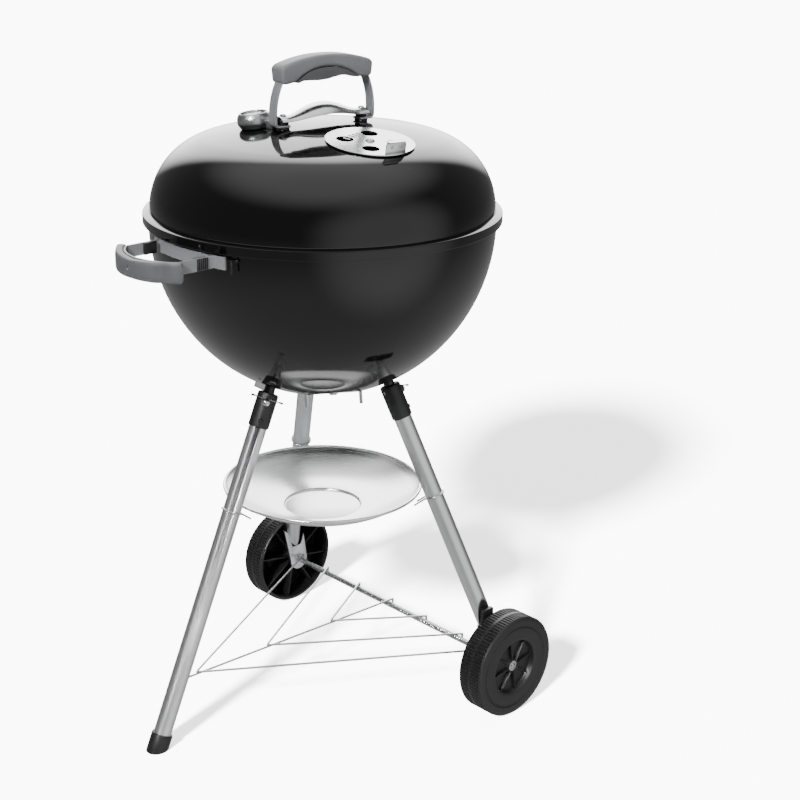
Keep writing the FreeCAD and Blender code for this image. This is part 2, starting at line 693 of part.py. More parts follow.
def make_tool_hook():
    """Wire hook on a small plate at the right end of the handle's bar."""
    angle = radians(-90 + BAR_ANGLE + 1.6)
    r = BOWL_RADIUS + 0.6
    z = ARM_TOP - 3
    base = V(r * cos(angle), r * sin(angle), z)
    out = V(cos(angle), sin(angle), 0)
    side = V(-out.y, out.x, 0)
    plate = rod(base + out * 1.6 - side * 1, base + out * 1.6 + side * 12, 1.6)
    stem = rod(base + out * 1.6 + side * 6, base + out * 8.5 + side * 6, 1.1)
    drop = rod(base + out * 8 + side * 6 + V(0, 0, 2), base + out * 8 + side * 6 - V(0, 0, 17), 1.2)
    return plate.fuse(stem).fuse(drop).removeSplitter()


# ---- grates ----
def bars(ring, wire_radius, pitch, z):
    """Parallel bars across a ring."""
    pieces = []
    count = int((ring - 8) / pitch)
    for index in range(-count, count + 1):
        x = index * pitch
        half = sqrt(ring ** 2 - x ** 2)
        pieces.append(rod(V(x, -half, z), V(x, half, z), wire_radius))
    return pieces


def make_cooking_grate():
    ring = Part.makeTorus(GRATE_RIM, GRATE_ROD, V(0, 0, GRATE_Z), UP)
    top = GRATE_Z + GRATE_ROD - GRATE_WIRE
    pieces = bars(GRATE_RIM, GRATE_WIRE, GRATE_PITCH, top)
    below = top - 2 * GRATE_WIRE + 0.4
    for y in (-75, 75):
        half = sqrt(GRATE_RIM ** 2 - y ** 2)
        pieces.append(rod(V(-half, y, below), V(half, y, below), GRATE_WIRE))
    return ring.multiFuse(pieces)


def make_grate_handles():
    """Two bent wires welded to the grate's outer bars, to lift it by."""
    top = GRATE_Z + GRATE_ROD - GRATE_WIRE
    lift = top + 24
    x = GRATE_PITCH * int((GRATE_RIM - 30) / GRATE_PITCH)
    handle = rod(V(x, -45 - GRATE_WIRE, lift), V(x, 45 + GRATE_WIRE, lift), GRATE_WIRE)
    handle = handle.multiFuse([rod(V(x, y, top), V(x, y, lift), GRATE_WIRE) for y in (-45, 45)])
    handle = handle.cut(rod(V(x, -60, top), V(x, 60, top), GRATE_WIRE))
    return Part.makeCompound([handle, turned(handle, 180)])


def coal_ring():
    """Centre radius of the charcoal grate's rim, just clear of the bowl."""
    inner = BOWL_RADIUS - SHEET
    share = (ROUND_Z - COAL_Z) / (BOWL_ROUND - SHEET)
    wall = inner * sqrt(1 - share * share)
    normal = V(wall / inner ** 2, 0, -(ROUND_Z - COAL_Z) / (BOWL_ROUND - SHEET) ** 2).normalize()
    return wall - (COAL_ROD + FACE_GAP) / normal.x


def make_coal_grate():
    radius = coal_ring()
    ring = Part.makeTorus(radius, COAL_ROD, V(0, 0, COAL_Z), UP)
    pieces = bars(radius, COAL_ROD, COAL_PITCH, COAL_Z)
    half = radius - 3 * COAL_ROD
    pieces.append(rod(V(-half, 0, COAL_Z - 5), V(half, 0, COAL_Z - 5), COAL_ROD))
    return ring.multiFuse(pieces)


# ---- legs: made upright with the axis on Z and "outwards" on +X, then leaned ----
def leg_seat(shape, angle):
    copy = shape.copy()
    copy.rotate(V(0, 0, 0), V(0, 1, 0), -degrees(atan(LEG_SLOPE)))
    copy.translate(V(LEG_SPREAD, 0, 0))
    return turned(copy, angle)


def meeting_length():
    """Distance up the leg axis from the floor to the bowl's skin."""
    low = 0.0
    high = ROUND_Z
    for step in range(60):
        z = 0.5 * (low + high)
        radius = abs(LEG_SPREAD - LEG_SLOPE * z)
        if radius > BOWL_RADIUS or z < bowl_depth(radius):
            low = z
        else:
            high = z
    return low * LEG_STRETCH


def collar_top():
    return meeting_length() - COLLAR_DROP


def faced(shape):
    """Turn a shape made towards +X to the side that the buttons face."""
    return turned(shape, FACE_TURN)


def button_hole(clearance):
    z = collar_top() - BUTTON_DOWN
    return faced(rod(V(4.0, 0, z), V(COLLAR_RADIUS + 6, 0, z), BUTTON_RADIUS + clearance))


def bolt_hole():
    z = collar_top() - BOLT_DOWN
    return faced(rod(V(3.0, 0, z), V(COLLAR_RADIUS + 6, 0, z), SCREW))


def socket():
    """Enamelled stub welded under the bowl, with the plug that goes down into the leg."""
    top = meeting_length() + 2 * STUB_RADIUS * LEG_SLOPE
    shoulder = collar_top() - 3
    plug = LEG_RADIUS - LEG_SHEET - 0.1
    body = Part.makeCone(STUB_RADIUS, STUB_RADIUS - 0.8, top - shoulder, V(0, 0, shoulder), UP)
    body = body.fuse(rod(V(0, 0, shoulder - PLUG_LENGTH), V(0, 0, shoulder - 1.7), plug))
    body = body.fuse(rod(V(0, 0, shoulder - 2), V(0, 0, shoulder + 1), STUB_RADIUS))
    return body.cut(button_hole(RUN_FIT)).cut(bolt_hole()).removeSplitter()


def make_leg_stubs():
    return on_every_leg(socket()).cut(filled_bowl(0))


def make_leg(angle, name):
    start = 6.0 * LEG_STRETCH
    top = collar_top() - 5
    tube = rod(V(0, 0, start), V(0, 0, top), LEG_RADIUS)
    tube = tube.cut(rod(V(0, 0, start - 1), V(0, 0, top + 1), LEG_RADIUS - LEG_SHEET))
    tube = leg_seat(tube.cut(button_hole(RUN_FIT)).cut(bolt_hole()), angle)
    if name == "front":
        return tube
    side = 1 if name == "right" else -1
    edge = side * (plate_x() - PLATE_SHEET)
    low = V(min(edge, edge + side * 90), 0, -20)
    high = V(max(edge, edge + side * 90), 300, 200)
    return tube.cut(block(low, high))


def make_collar(angle):
    top = collar_top()
    body = rod(V(0, 0, top - COLLAR_LENGTH), V(0, 0, top), COLLAR_RADIUS)
    body = body.cut(rod(V(0, 0, top - COLLAR_LENGTH - 1), V(0, 0, top - 4.5), LEG_RADIUS + 0.05))
    body = body.cut(rod(V(0, 0, top - 5), V(0, 0, top + 1), STUB_RADIUS + 0.05))
    window = block(V(8, -5, top - 10), V(COLLAR_RADIUS + 2, 5, top - 5.2))
    body = body.cut(turned(window, FACE_TURN + 180))
    return leg_seat(body.cut(button_hole(RUN_FIT)).cut(bolt_hole()), angle)


def on_every_leg(piece):
    """The same upright piece on all three legs, as separate solids."""
    return Part.makeCompound([leg_seat(piece, angle) for angle in LEG_ANGLES.values()])


def make_leg_bolts():
    z = collar_top() - BOLT_DOWN
    base = COLLAR_RADIUS + 2 * CLIP_WIRE + 0.2
    shank = rod(V(3.0, 0, z), V(base + 1, 0, z), SCREW)
    ball = Part.makeSphere(6.6, V(base - 3.2, 0, z))
    dome = ball.common(block(V(base, -7, z - 7), V(base + 7, 7, z + 7)))
    return on_every_leg(faced(shank.fuse(dome).removeSplitter()))


def make_leg_clips():
    """Straight spring wires held across the collars by the domed bolts."""
    z = collar_top() - CLIP_DOWN
    x = COLLAR_RADIUS + CLIP_WIRE + 0.1
    return on_every_leg(faced(rod(V(x, -CLIP_LENGTH / 2, z), V(x, CLIP_LENGTH / 2, z), CLIP_WIRE)))


def make_leg_button(angle):
    z = collar_top() - BUTTON_DOWN
    inner = 4.0 + BUTTON_TRAVEL + FACE_GAP
    tip = COLLAR_RADIUS + BUTTON_STAND
    body = rod(V(inner, 0, z), V(tip - 1.2, 0, z), BUTTON_RADIUS)
    body = body.fuse(Part.makeCone(BUTTON_RADIUS, BUTTON_RADIUS - 1.2, 1.2, V(tip - 1.2, 0, z), V(1, 0, 0)))
    return leg_seat(faced(body.removeSplitter()), angle)


def make_foot_cap():
    length = CAP_HEIGHT * LEG_STRETCH
    body = rod(V(0, 0, -20), V(0, 0, length), CAP_RADIUS)
    body = body.cut(rod(V(0, 0, 6.0 * LEG_STRETCH), V(0, 0, length + 1), LEG_RADIUS))
    body = leg_seat(body, LEG_ANGLES["front"])
    return body.cut(block(V(-100, -600, -100), V(100, 0, 0)))


# ---- rear leg plates, axle, wheels ----
def plate_x():
    """Outer face of a leg plate."""
    return WHEEL_OUT - WHEEL_WIDTH - PLATE_GAP


def make_leg_plate(side):
    """Flattened leg end with two ears, carrying the axle."""
    corners = [(-17, 0), (-31, 60), (-22, 52), (-14, 26), (4, 26), (10, 44), (17, 0)]
    points = [V(0, AXLE_Y + y, WHEEL_RADIUS + z) for y, z in corners]
    plate = outline(points).extrude(V(PLATE_SHEET, 0, 0))
    plate = plate.fuse(rod(V(0, AXLE_Y, WHEEL_RADIUS), V(PLATE_SHEET, AXLE_Y, WHEEL_RADIUS), 17))
    plate = plate.cut(rod(V(-1, AXLE_Y, WHEEL_RADIUS), V(PLATE_SHEET + 1, AXLE_Y, WHEEL_RADIUS), AXLE_RADIUS))
    plate.translate(V(plate_x() - PLATE_SHEET, 0, 0))
    plate = plate.removeSplitter()
    return plate if side > 0 else plate.mirror(V(0, 0, 0), V(1, 0, 0))


def make_leg_end_cap(side):
    """Plastic cap over the cut side of the tube."""
    z = (LEG_SPREAD - (plate_x() - 2) / cos(radians(30))) / LEG_SLOPE
    y = (LEG_SPREAD - LEG_SLOPE * z) * sin(radians(30))
    inner = plate_x() - PLATE_SHEET + 0.1
    cap = block(V(inner, y - 13, z - 1), V(plate_x() + PLATE_GAP - 1.2, y + 9, z + 23))
    return cap if side > 0 else cap.mirror(V(0, 0, 0), V(1, 0, 0))


def make_axle():
    end = WHEEL_OUT - RECESS_DEPTH + 4
    return rod(V(-end, AXLE_Y, WHEEL_RADIUS), V(end, AXLE_Y, WHEEL_RADIUS), AXLE_RADIUS)


def make_axle_nuts():
    start = WHEEL_OUT - RECESS_DEPTH + 0.5
    a = V(start, AXLE_Y, WHEEL_RADIUS)
    b = V(start + 2.5, AXLE_Y, WHEEL_RADIUS)
    nut = rod(a, b, PUSH_NUT).cut(rod(a - V(1, 0, 0), b + V(1, 0, 0), AXLE_RADIUS))
    return Part.makeCompound([nut, nut.mirror(V(0, 0, 0), V(1, 0, 0))])


def make_wheel(side):
    """Blow-moulded wheel: tread, outer wall with a recessed spoked hub, open inner side."""
    w = WHEEL_WIDTH
    r = WHEEL_RADIUS
    web = w - RECESS_DEPTH
    bore = AXLE_RADIUS + RUN_FIT
    body = lathe([(bore, 2), (HUB_RADIUS, 2), (HUB_RADIUS, web - 5), (HUB_RECESS, web - 5),
                  (HUB_RECESS + 3, w - 6), (r - TREAD_WALL, w - 6), (r - TREAD_WALL, 0), (r - 3, 0), (r, 3),
                  (r, w - 3), (r - 3, w), (HUB_RECESS + 3, w), (HUB_RECESS, web), (bore, web)])
    for index in range(SPOKES):
        rib = block(V(HUB_RADIUS - 1, -1.2, 8), V(r - TREAD_WALL + 1, 1.2, w - 6))
        spoke = block(V(HUB_RADIUS - 2, -2, web - 1), V(HUB_RECESS + 1, 2, web + 4))
        body = body.fuse(turned(rib, index * 360.0 / SPOKES)).fuse(turned(spoke, index * 360.0 / SPOKES))
    body = body.cut(rod(V(0, 0, web), V(0, 0, w + 1), HUB_RADIUS - 1.5))
    body = body.removeSplitter()
    body.rotate(V(0, 0, 0), V(0, 1, 0), 90)
    body.translate(V(WHEEL_OUT - w, AXLE_Y, r))
    return body if side > 0 else body.mirror(V(0, 0, 0), V(1, 0, 0))


# ---- ash dish ----
def make_dish():
    t = DISH_SHEET
    rim = DISH_RADIUS - DISH_BEAD
    step = V(DISH_STEP, 0, DISH_STEP_Z)
    middle = 0.5 * (rim + DISH_STEP)
    sink = 0.36 * (DISH_Z - DISH_STEP_Z)
    upper = arc(V(rim, 0, DISH_Z), V(middle, 0, DISH_STEP_Z + sink), step)
    lower = arc(V(rim, 0, DISH_Z - t), V(middle, 0, DISH_STEP_Z + sink - t), step - V(0, 0, t))
    drop = 2.0
    floor = [V(DISH_STEP - 1.5, 0, DISH_STEP_Z - drop), V(0, 0, DISH_STEP_Z - drop)]
    under = [p - V(0, 0, t) for p in floor]
    edges = [upper, lower, line(V(rim, 0, DISH_Z), V(rim, 0, DISH_Z - t)), line(step, floor[0]),
             line(floor[0], floor[1]), line(floor[1], under[1]), line(under[1], under[0]),
             line(under[0], step - V(0, 0, t))]
    dish = spun(edges)
    bead = Part.makeTorus(DISH_RADIUS - DISH_BEAD, DISH_BEAD, V(0, 0, DISH_Z), UP)
    return dish.fuse(bead).removeSplitter()


def make_dish_clip(angle):
    """Wire ring round the leg with two arms under the dish's rim."""
    z = (DISH_Z + 3) * LEG_STRETCH
    ring_radius = LEG_RADIUS + RING_WIRE + 0.1
    piece = Part.makeTorus(ring_radius, RING_WIRE, V(0, 0, z), UP)
    reach = LEG_SPREAD - LEG_SLOPE * DISH_Z - DISH_RADIUS + DISH_BEAD
    for side in (-1, 1):
        start = V(-sqrt(ring_radius ** 2 - 64), 8 * side, z)
        piece = piece.fuse(rod(start, V(-reach - 5, 8 * side, z - 5), RING_WIRE))
    piece = leg_seat(piece.removeSplitter(), angle)
    return piece.cut(make_dish())


# ---- rack ----
def rack_z(y):
    return WHEEL_RADIUS + AXLE_RADIUS + RACK_WIRE + 0.05 + RACK_RISE * (AXLE_Y - y)


def rack_end(stop):
    """The rounded bend and the short end that turns down behind the axle."""
    return [Part.makeSphere(RACK_WIRE, stop), rod(stop, stop - V(0, 0, 7), RACK_WIRE)]


def make_rack_spine():
    past = AXLE_Y + RACK_PAST
    leg_r = LEG_SPREAD - LEG_SLOPE * rack_z(-250) - LEG_RADIUS * LEG_STRETCH
    front = -leg_r + 0.2
    stop = V(0, past, rack_z(past))
    return rod(V(0, front, rack_z(front)), stop, RACK_WIRE).multiFuse(rack_end(stop))


def make_rack_wires(side):
    """One side of the rack's three V-shaped wires."""
    half = block(V(min(0, side * 400), -400, 0), V(max(0, side * 400), 400, 200))
    spine = make_rack_spine()
    wires = []
    for apex, end in zip(RACK_APEXES, RACK_ENDS):
        z = rack_z(apex) + 1.9 * RACK_WIRE
        bend = V(0, apex - 2, z)
        tip = V(side * 4, apex + 3, z)
        over = V(side * end, AXLE_Y, rack_z(AXLE_Y))
        stop = over + (over - tip).normalize() * RACK_PAST
        pieces = [rod(tip, stop, RACK_WIRE), Part.makeSphere(RACK_WIRE, tip), Part.makeSphere(RACK_WIRE, bend)]
        wire_piece = rod(bend, tip, RACK_WIRE).multiFuse(pieces + rack_end(stop))
        wires.append(wire_piece.common(half).cut(spine))
    return Part.makeCompound(wires)


def build():
    """Every piece by its node name."""
    nodes = {"bowl": make_bowl(), "lid": make_lid()}
    for name, angle in VENT_ANGLES.items():
        nodes["vent_damper_" + name] = make_vent_damper(angle)
    nodes["vent_rivets"] = make_vent_rivets()
    nodes["lid_damper"] = make_lid_damper()
    nodes["lid_damper_rivet"] = make_lid_damper_rivet()
    nodes["lid_handle_strap"] = make_strap()
    nodes["lid_handle_grip"] = make_grip()
    nodes["lid_handle_insert"] = make_grip_insert()
    nodes["heat_shield"] = make_shield()
    nodes["handle_foot_pads"] = make_foot_pads()
    nodes["handle_spacers"] = make_spacers()
    nodes["handle_screws"] = make_handle_screws()
    nodes["gauge_bezel"] = make_gauge_bezel()
    nodes["gauge_dial"] = make_gauge_dial()
    nodes["gauge_stem"] = make_gauge_stem()
    nodes["gauge_needle"] = make_gauge_needle()
    nodes["gauge_glass"] = make_gauge_glass()
    nodes["gauge_bracket"] = make_gauge_bracket()
    nodes["bowl_handle_bracket"] = make_bowl_bracket()
    nodes["bowl_handle_grip"] = make_bowl_grip()
    nodes["bowl_handle_screw"] = make_bowl_screw()
    nodes["tool_hook"] = make_tool_hook()
    nodes["leg_stubs"] = make_leg_stubs()
    nodes["grate_lugs"] = make_grate_lugs()
    nodes["cooking_grate"] = make_cooking_grate()
    nodes["grate_handles"] = make_grate_handles()
    nodes["charcoal_grate"] = make_coal_grate()
    for name, angle in LEG_ANGLES.items():
        nodes["leg_tube_" + name] = make_leg(angle, name)
        nodes["leg_collar_" + name] = make_collar(angle)
        nodes["leg_button_" + name] = make_leg_button(angle)
        nodes["dish_clip_" + name] = make_dish_clip(angle)
    nodes["leg_bolts"] = make_leg_bolts()
    nodes["leg_clips"] = make_leg_clips()
    for name, side in (("right", 1), ("left", -1)):
        nodes["leg_plate_" + name] = make_leg_plate(side)
        nodes["leg_end_cap_" + name] = make_leg_end_cap(side)
        nodes["wheel_" + name] = make_wheel(side)
        nodes["rack_wires_" + name] = make_rack_wires(side)
    nodes["axle_nuts"] = make_axle_nuts()
    nodes["foot_cap"] = make_foot_cap()
    nodes["axle"] = make_axle()
    nodes["ash_dish"] = make_dish()
    nodes["rack_spine"] = make_rack_spine()
    return nodes


def main():
    os.makedirs("parts", exist_ok=True)
    for name, shape in build().items():
        shape.translate(V(0, AXIS_Y, 0))
        shape.exportStep("parts/" + name + ".step")


main()
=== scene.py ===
"""Kettle charcoal grill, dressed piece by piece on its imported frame, in metres."""
import bpy
import json
import math
from mathutils import Matrix, Vector

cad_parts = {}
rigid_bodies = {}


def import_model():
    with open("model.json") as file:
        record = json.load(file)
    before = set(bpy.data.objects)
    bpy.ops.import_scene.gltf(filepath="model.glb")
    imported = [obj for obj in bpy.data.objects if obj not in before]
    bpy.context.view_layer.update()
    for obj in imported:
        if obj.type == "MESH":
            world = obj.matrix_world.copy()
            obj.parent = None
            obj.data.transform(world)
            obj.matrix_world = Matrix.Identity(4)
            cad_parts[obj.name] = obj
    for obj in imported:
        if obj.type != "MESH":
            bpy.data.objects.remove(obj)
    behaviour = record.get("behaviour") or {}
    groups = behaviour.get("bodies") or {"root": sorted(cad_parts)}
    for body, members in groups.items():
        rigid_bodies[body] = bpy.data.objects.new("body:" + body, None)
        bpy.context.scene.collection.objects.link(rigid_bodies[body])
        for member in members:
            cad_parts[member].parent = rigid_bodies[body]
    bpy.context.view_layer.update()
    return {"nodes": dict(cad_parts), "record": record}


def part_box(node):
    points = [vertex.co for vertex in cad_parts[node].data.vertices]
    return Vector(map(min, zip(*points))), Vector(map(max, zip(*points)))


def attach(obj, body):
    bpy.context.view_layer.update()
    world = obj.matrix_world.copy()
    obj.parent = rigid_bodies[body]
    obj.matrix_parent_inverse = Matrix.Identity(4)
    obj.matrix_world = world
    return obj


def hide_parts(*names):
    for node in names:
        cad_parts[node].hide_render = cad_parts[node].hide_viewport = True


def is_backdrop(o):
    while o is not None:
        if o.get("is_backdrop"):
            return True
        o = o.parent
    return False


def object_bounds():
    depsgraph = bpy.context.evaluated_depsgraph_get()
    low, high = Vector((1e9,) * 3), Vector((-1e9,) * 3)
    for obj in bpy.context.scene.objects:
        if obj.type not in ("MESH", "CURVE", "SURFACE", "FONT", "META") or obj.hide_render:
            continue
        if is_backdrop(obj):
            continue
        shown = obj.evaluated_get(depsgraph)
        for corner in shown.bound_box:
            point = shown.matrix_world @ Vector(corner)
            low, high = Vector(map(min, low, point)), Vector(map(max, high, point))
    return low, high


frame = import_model()

# ---- Bowl ----
# The lower half of the kettle: 1.5 mm steel drawn into a deep round bowl, with
# a rolled rim and three pressed vent pads, fired with black porcelain enamel.
# Three enamelled stubs welded under it plug into the legs.
MM = 0.001
lid_low, lid_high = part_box("lid")
AXIS = Vector(((lid_low.x + lid_high.x) / 2, (lid_low.y + lid_high.y) / 2, 0.0))
BOWL_R = 238.8
BOWL_DEEP = 247.0
BOWL_ROUND_Z = 715.5
STEEL = 1.5


def linear(code):
    """sRGB hex to a linear colour."""
    levels = [int(code[i:i + 2], 16) / 255 for i in (1, 3, 5)]
    return [v / 12.92 if v <= 0.04045 else ((v + 0.055) / 1.055) ** 2.4 for v in levels] + [1.0]


def new_material(name, **values):
    """A Principled material with its constant values on the shader's own sockets."""
    material = bpy.data.materials.new(name)
    material.use_nodes = True
    for key, value in values.items():
        socket = material.node_tree.nodes["Principled BSDF"].inputs[key.replace("_", " ")]
        socket.default_value = linear(value) if isinstance(value, str) else value
    return material


def add(material, kind, settings=None, **inputs):
    """One node with its settings, its values and the sockets that feed it."""
    node = material.node_tree.nodes.new(kind)
    for key, value in (settings or {}).items():
        setattr(node, key, value)
    for key, value in inputs.items():
        socket = node.inputs[key.replace("_", " ")]
        if isinstance(value, bpy.types.NodeSocket):
            material.node_tree.links.new(value, socket)
        else:
            socket.default_value = value
    return node


def feed(material, socket, source):
    """Leads a pattern into one of the shader's sockets."""
    shader = material.node_tree.nodes["Principled BSDF"]
    material.node_tree.links.new(source, shader.inputs[socket])


def place_of(material):
    """Where a point is on its own piece."""
    return add(material, "ShaderNodeTexCoord").outputs["Object"]


def noise(material, place, size, **values):
    """A cloudy pattern whose patches are size millimetres across."""
    return add(material, "ShaderNodeTexNoise", Vector=place, Scale=1000 / size, **values).outputs["Fac"]


def roughen(material, pattern, low, high):
    """Lets a pattern vary how rough the surface is."""
    spread = add(material, "ShaderNodeMapRange", Value=pattern, To_Min=low, To_Max=high)
    feed(material, "Roughness", spread.outputs["Result"])


def tint(material, pattern, dark, pale):
    """Lets a pattern wander between two close tones."""
    tone = add(material, "ShaderNodeMix", {"data_type": "RGBA"}, Factor=pattern)
    tone.inputs[6].default_value = linear(dark)
    tone.inputs[7].default_value = linear(pale)
    feed(material, "Base Color", tone.outputs[2])


def emboss(material, pattern, strength, depth):
    """Lets a pattern raise the surface by at most depth metres."""
    bump = add(material, "ShaderNodeBump", Height=pattern, Strength=strength, Distance=depth)
    feed(material, "Normal", bump.outputs["Normal"])


def pick(piece):
    """Makes a piece the only selected and active object."""
    bpy.ops.object.select_all(action="DESELECT")
    piece.select_set(True)
    bpy.context.view_layer.objects.active = piece


def from_points(name, points, edges, faces=()):
    """A new mesh object from corners in millimetres."""
    mesh = bpy.data.meshes.new(name)
    mesh.from_pydata([Vector(p) * MM for p in points], edges, faces)
    piece = bpy.data.objects.new(name, mesh)
    bpy.context.scene.collection.objects.link(piece)
    pick(piece)
    return piece


def tidy_mesh(piece):
    """Merges doubles and turns the faces outwards."""
    pick(piece)
    bpy.ops.object.mode_set(mode="EDIT")
    bpy.ops.mesh.select_all(action="SELECT")
    bpy.ops.mesh.remove_doubles(threshold=0.000002)
    bpy.ops.mesh.dissolve_degenerate(threshold=0.000002)
    bpy.ops.mesh.normals_make_consistent(inside=False)
    bpy.ops.object.mode_set(mode="OBJECT")


def turned(name, section, steps=128):
    """A turned piece: its half section, (radius, height) in millimetres, spun round Z."""
    count = len(section)
    closed = section[0][0] > 0
    edges = [(i, (i + 1) % count) for i in range(count if closed else count - 1)]
    piece = from_points(name, [(r, 0, z) for r, z in section], edges)
    bpy.ops.object.mode_set(mode="EDIT")
    bpy.ops.mesh.select_all(action="SELECT")
    bpy.ops.mesh.spin(steps=steps, angle=2 * math.pi, center=(0, 0, 0), axis=(0, 0, 1))
    bpy.ops.object.mode_set(mode="OBJECT")
    tidy_mesh(piece)
    return piece


def finish(piece, kind, **settings):
    """Adds a modifier and applies it."""
    pick(piece)
    modifier = piece.modifiers.new(kind.title(), kind)
    for key, value in settings.items():
        setattr(modifier, key, value)
    bpy.ops.object.modifier_apply(modifier=modifier.name)


def soften(piece, width, segments=3, angle=35):
    """Rounds the piece's sharp edges, width in millimetres."""
    finish(piece, "BEVEL", width=width * MM, segments=segments, limit_method="ANGLE",
           angle_limit=math.radians(angle), use_clamp_overlap=True)


def moved(piece, place):
    """Puts a place into the mesh."""
    piece.data.transform(place)
    piece.data.update()


def settle(piece, body, slot, material, *nodes, angle=32):
    """Smooths a finished piece, gives it its finish and hands it to the frame."""
    pick(piece)
    bpy.ops.object.transform_apply(location=True, rotation=True, scale=True)
    bpy.ops.object.shade_smooth_by_angle(angle=math.radians(angle))
    piece.data.materials.clear()
    piece.data.materials.append(material)
    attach(piece, body)
    if nodes:
        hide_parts(*nodes)
    return piece


def joined(name, pieces):
    """Several pieces as one object."""
    bpy.ops.object.select_all(action="DESELECT")
    for piece in pieces:
        piece.select_set(True)
    bpy.context.view_layer.objects.active = pieces[0]
    if len(pieces) > 1:
        bpy.ops.object.join()
    pieces[0].name = name
    return pieces[0]


def arc_points(centre, radius, start, end, count):
    """Points of an arc in a section, angles in degrees."""
    angles = [math.radians(start + (end - start) * i / count) for i in range(count + 1)]
    return [(centre[0] + radius * math.cos(a), centre[1] + radius * math.sin(a)) for a in angles]


def cutter(radius, low, high, x=0.0, y=0.0, sides=64):
    """An upright round tool for a cut, in millimetres."""
    bpy.ops.object.select_all(action="DESELECT")
    bpy.ops.mesh.primitive_cylinder_add(vertices=sides, radius=radius * MM, depth=(high - low) * MM,
                                        location=(x * MM, y * MM, (low + high) / 2 * MM))
    bpy.ops.object.transform_apply(location=True, rotation=True, scale=True)
    return bpy.context.object


def cut(piece, tool, operation="DIFFERENCE"):
    """A clean boolean that uses its tool up."""
    finish(piece, "BOOLEAN", operation=operation, solver="EXACT", object=tool)
    bpy.data.objects.remove(tool)


def seat(point, normal, along):
    """The place of a piece whose foot is on a point and whose Z follows a normal."""
    side = normal.cross(along).normalized()
    turn = Matrix((side.cross(normal), side, normal)).transposed().to_4x4()
    return Matrix.Translation(Vector(point) * MM) @ turn


def about_axis(degrees=0.0):
    """Turns about the kettle's own axis, which stands at AXIS."""
    return Matrix.Translation(AXIS) @ Matrix.Rotation(math.radians(degrees), 4, "Z")


# black porcelain enamel: glass fired on steel, a deep gloss with a faint orange peel
enamel = new_material("porcelain_enamel", Base_Color="#0e0e0f", Roughness=0.06, IOR=1.5)
enamel_place = place_of(enamel)
enamel_peel = noise(enamel, enamel_place, 18, Detail=2.0, Roughness=0.4)
roughen(enamel, noise(enamel, enamel_place, 1.5, Detail=2.0, Roughness=0.6), 0.045, 0.1)
emboss(enamel, enamel_peel, 0.05, 0.0006)

BEAD_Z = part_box("bowl")[1].z / MM - 3.0
BEAD_R = BOWL_R + 0.7
round_steps = 56
outer = [(BOWL_R * math.sin(math.pi / 2 * i / round_steps),
          BOWL_ROUND_Z - BOWL_DEEP * math.cos(math.pi / 2 * i / round_steps)) for i in range(round_steps + 1)]
inner = [(r * (BOWL_R - STEEL) / BOWL_R,
          BOWL_ROUND_Z - (BOWL_ROUND_Z - z) * (BOWL_DEEP - STEEL) / BOWL_DEEP) for r, z in outer]
bead = arc_points((BEAD_R, BEAD_Z), 3.0, -100, 222, 20)
bowl = turned("bowl_shell", outer + bead + inner[::-1], 256)
VENT_OUT = 77.0
VENT_PAD = 42.0
PAD_LAP = 1.2
VENT_HOLE = 10.0
VENT_RING = 23.0
VENT_SINK = VENT_PAD ** 2 * BOWL_DEEP / (2 * BOWL_R ** 2) + 0.4
bowl_fall = math.sqrt(1 - (VENT_OUT / BOWL_R) ** 2) * BOWL_DEEP
vent_normal = Vector((VENT_OUT / BOWL_R ** 2, 0, -bowl_fall / BOWL_DEEP ** 2)).normalized()
vent_place = seat((VENT_OUT, 0, BOWL_ROUND_Z - bowl_fall), vent_normal, Vector((0, 1, 0)))
VENTS = {"front_right": -30, "rear": 90, "front_left": 210}
for angle in VENTS.values():
    turn = Matrix.Rotation(math.radians(angle), 4, "Z") @ vent_place
    mouth = cutter(VENT_PAD, -30, 10, sides=96)
    moved(mouth, turn)
    cut(bowl, mouth)
    pad = cutter(VENT_PAD + PAD_LAP, -VENT_SINK - STEEL, -VENT_SINK, sides=96)
    for hole in range(3):
        spot = math.radians(90 + 120 * hole)
        cut(pad, cutter(VENT_HOLE, -20, 10, VENT_RING * math.cos(spot), VENT_RING * math.sin(spot), 48))
    moved(pad, turn)
    cut(bowl, pad, "UNION")
moved(bowl, about_axis())
settle(bowl, "stand", "enamel", enamel, "bowl", angle=25)

LEG_SLOPE = 0.4352
foot = next(m for m in frame["record"]["mounts"] if m["name"] == "front_foot")["pos_m"]
LEG_SPREAD = (AXIS.y - foot[1]) / MM
LEAN = math.atan(LEG_SLOPE)
LEGS = {"front": -90, "right": 30, "left": 150}
COLLAR_R = 14.75
collar_top_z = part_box("leg_collar_front")[1].z / MM - COLLAR_R * math.sin(LEAN)
COLLAR_TOP = collar_top_z / math.cos(LEAN)


def on_leg(angle):
    """The place of a leg: its axis on Z from the floor up, outwards on X."""
    return about_axis(angle) @ Matrix.Translation((LEG_SPREAD * MM, 0, 0)) @ Matrix.Rotation(-LEAN, 4, "Y")


stubs = []
foot_ring = COLLAR_TOP - 3
for angle in LEGS.values():
    stub = turned("stub", [(8.0, foot_ring), (7.6, COLLAR_TOP + 3), (7.4, COLLAR_TOP + 9),
                           (8.4, COLLAR_TOP + 15), (11.5, COLLAR_TOP + 21), (11.5, COLLAR_TOP + 24),
                           (5.0, COLLAR_TOP + 24), (5.0, foot_ring)], 48)
    moved(stub, on_leg(angle))
    stubs.append(stub)
settle(joined("stub_sockets", stubs), "stand", "enamel", enamel, "leg_stubs")

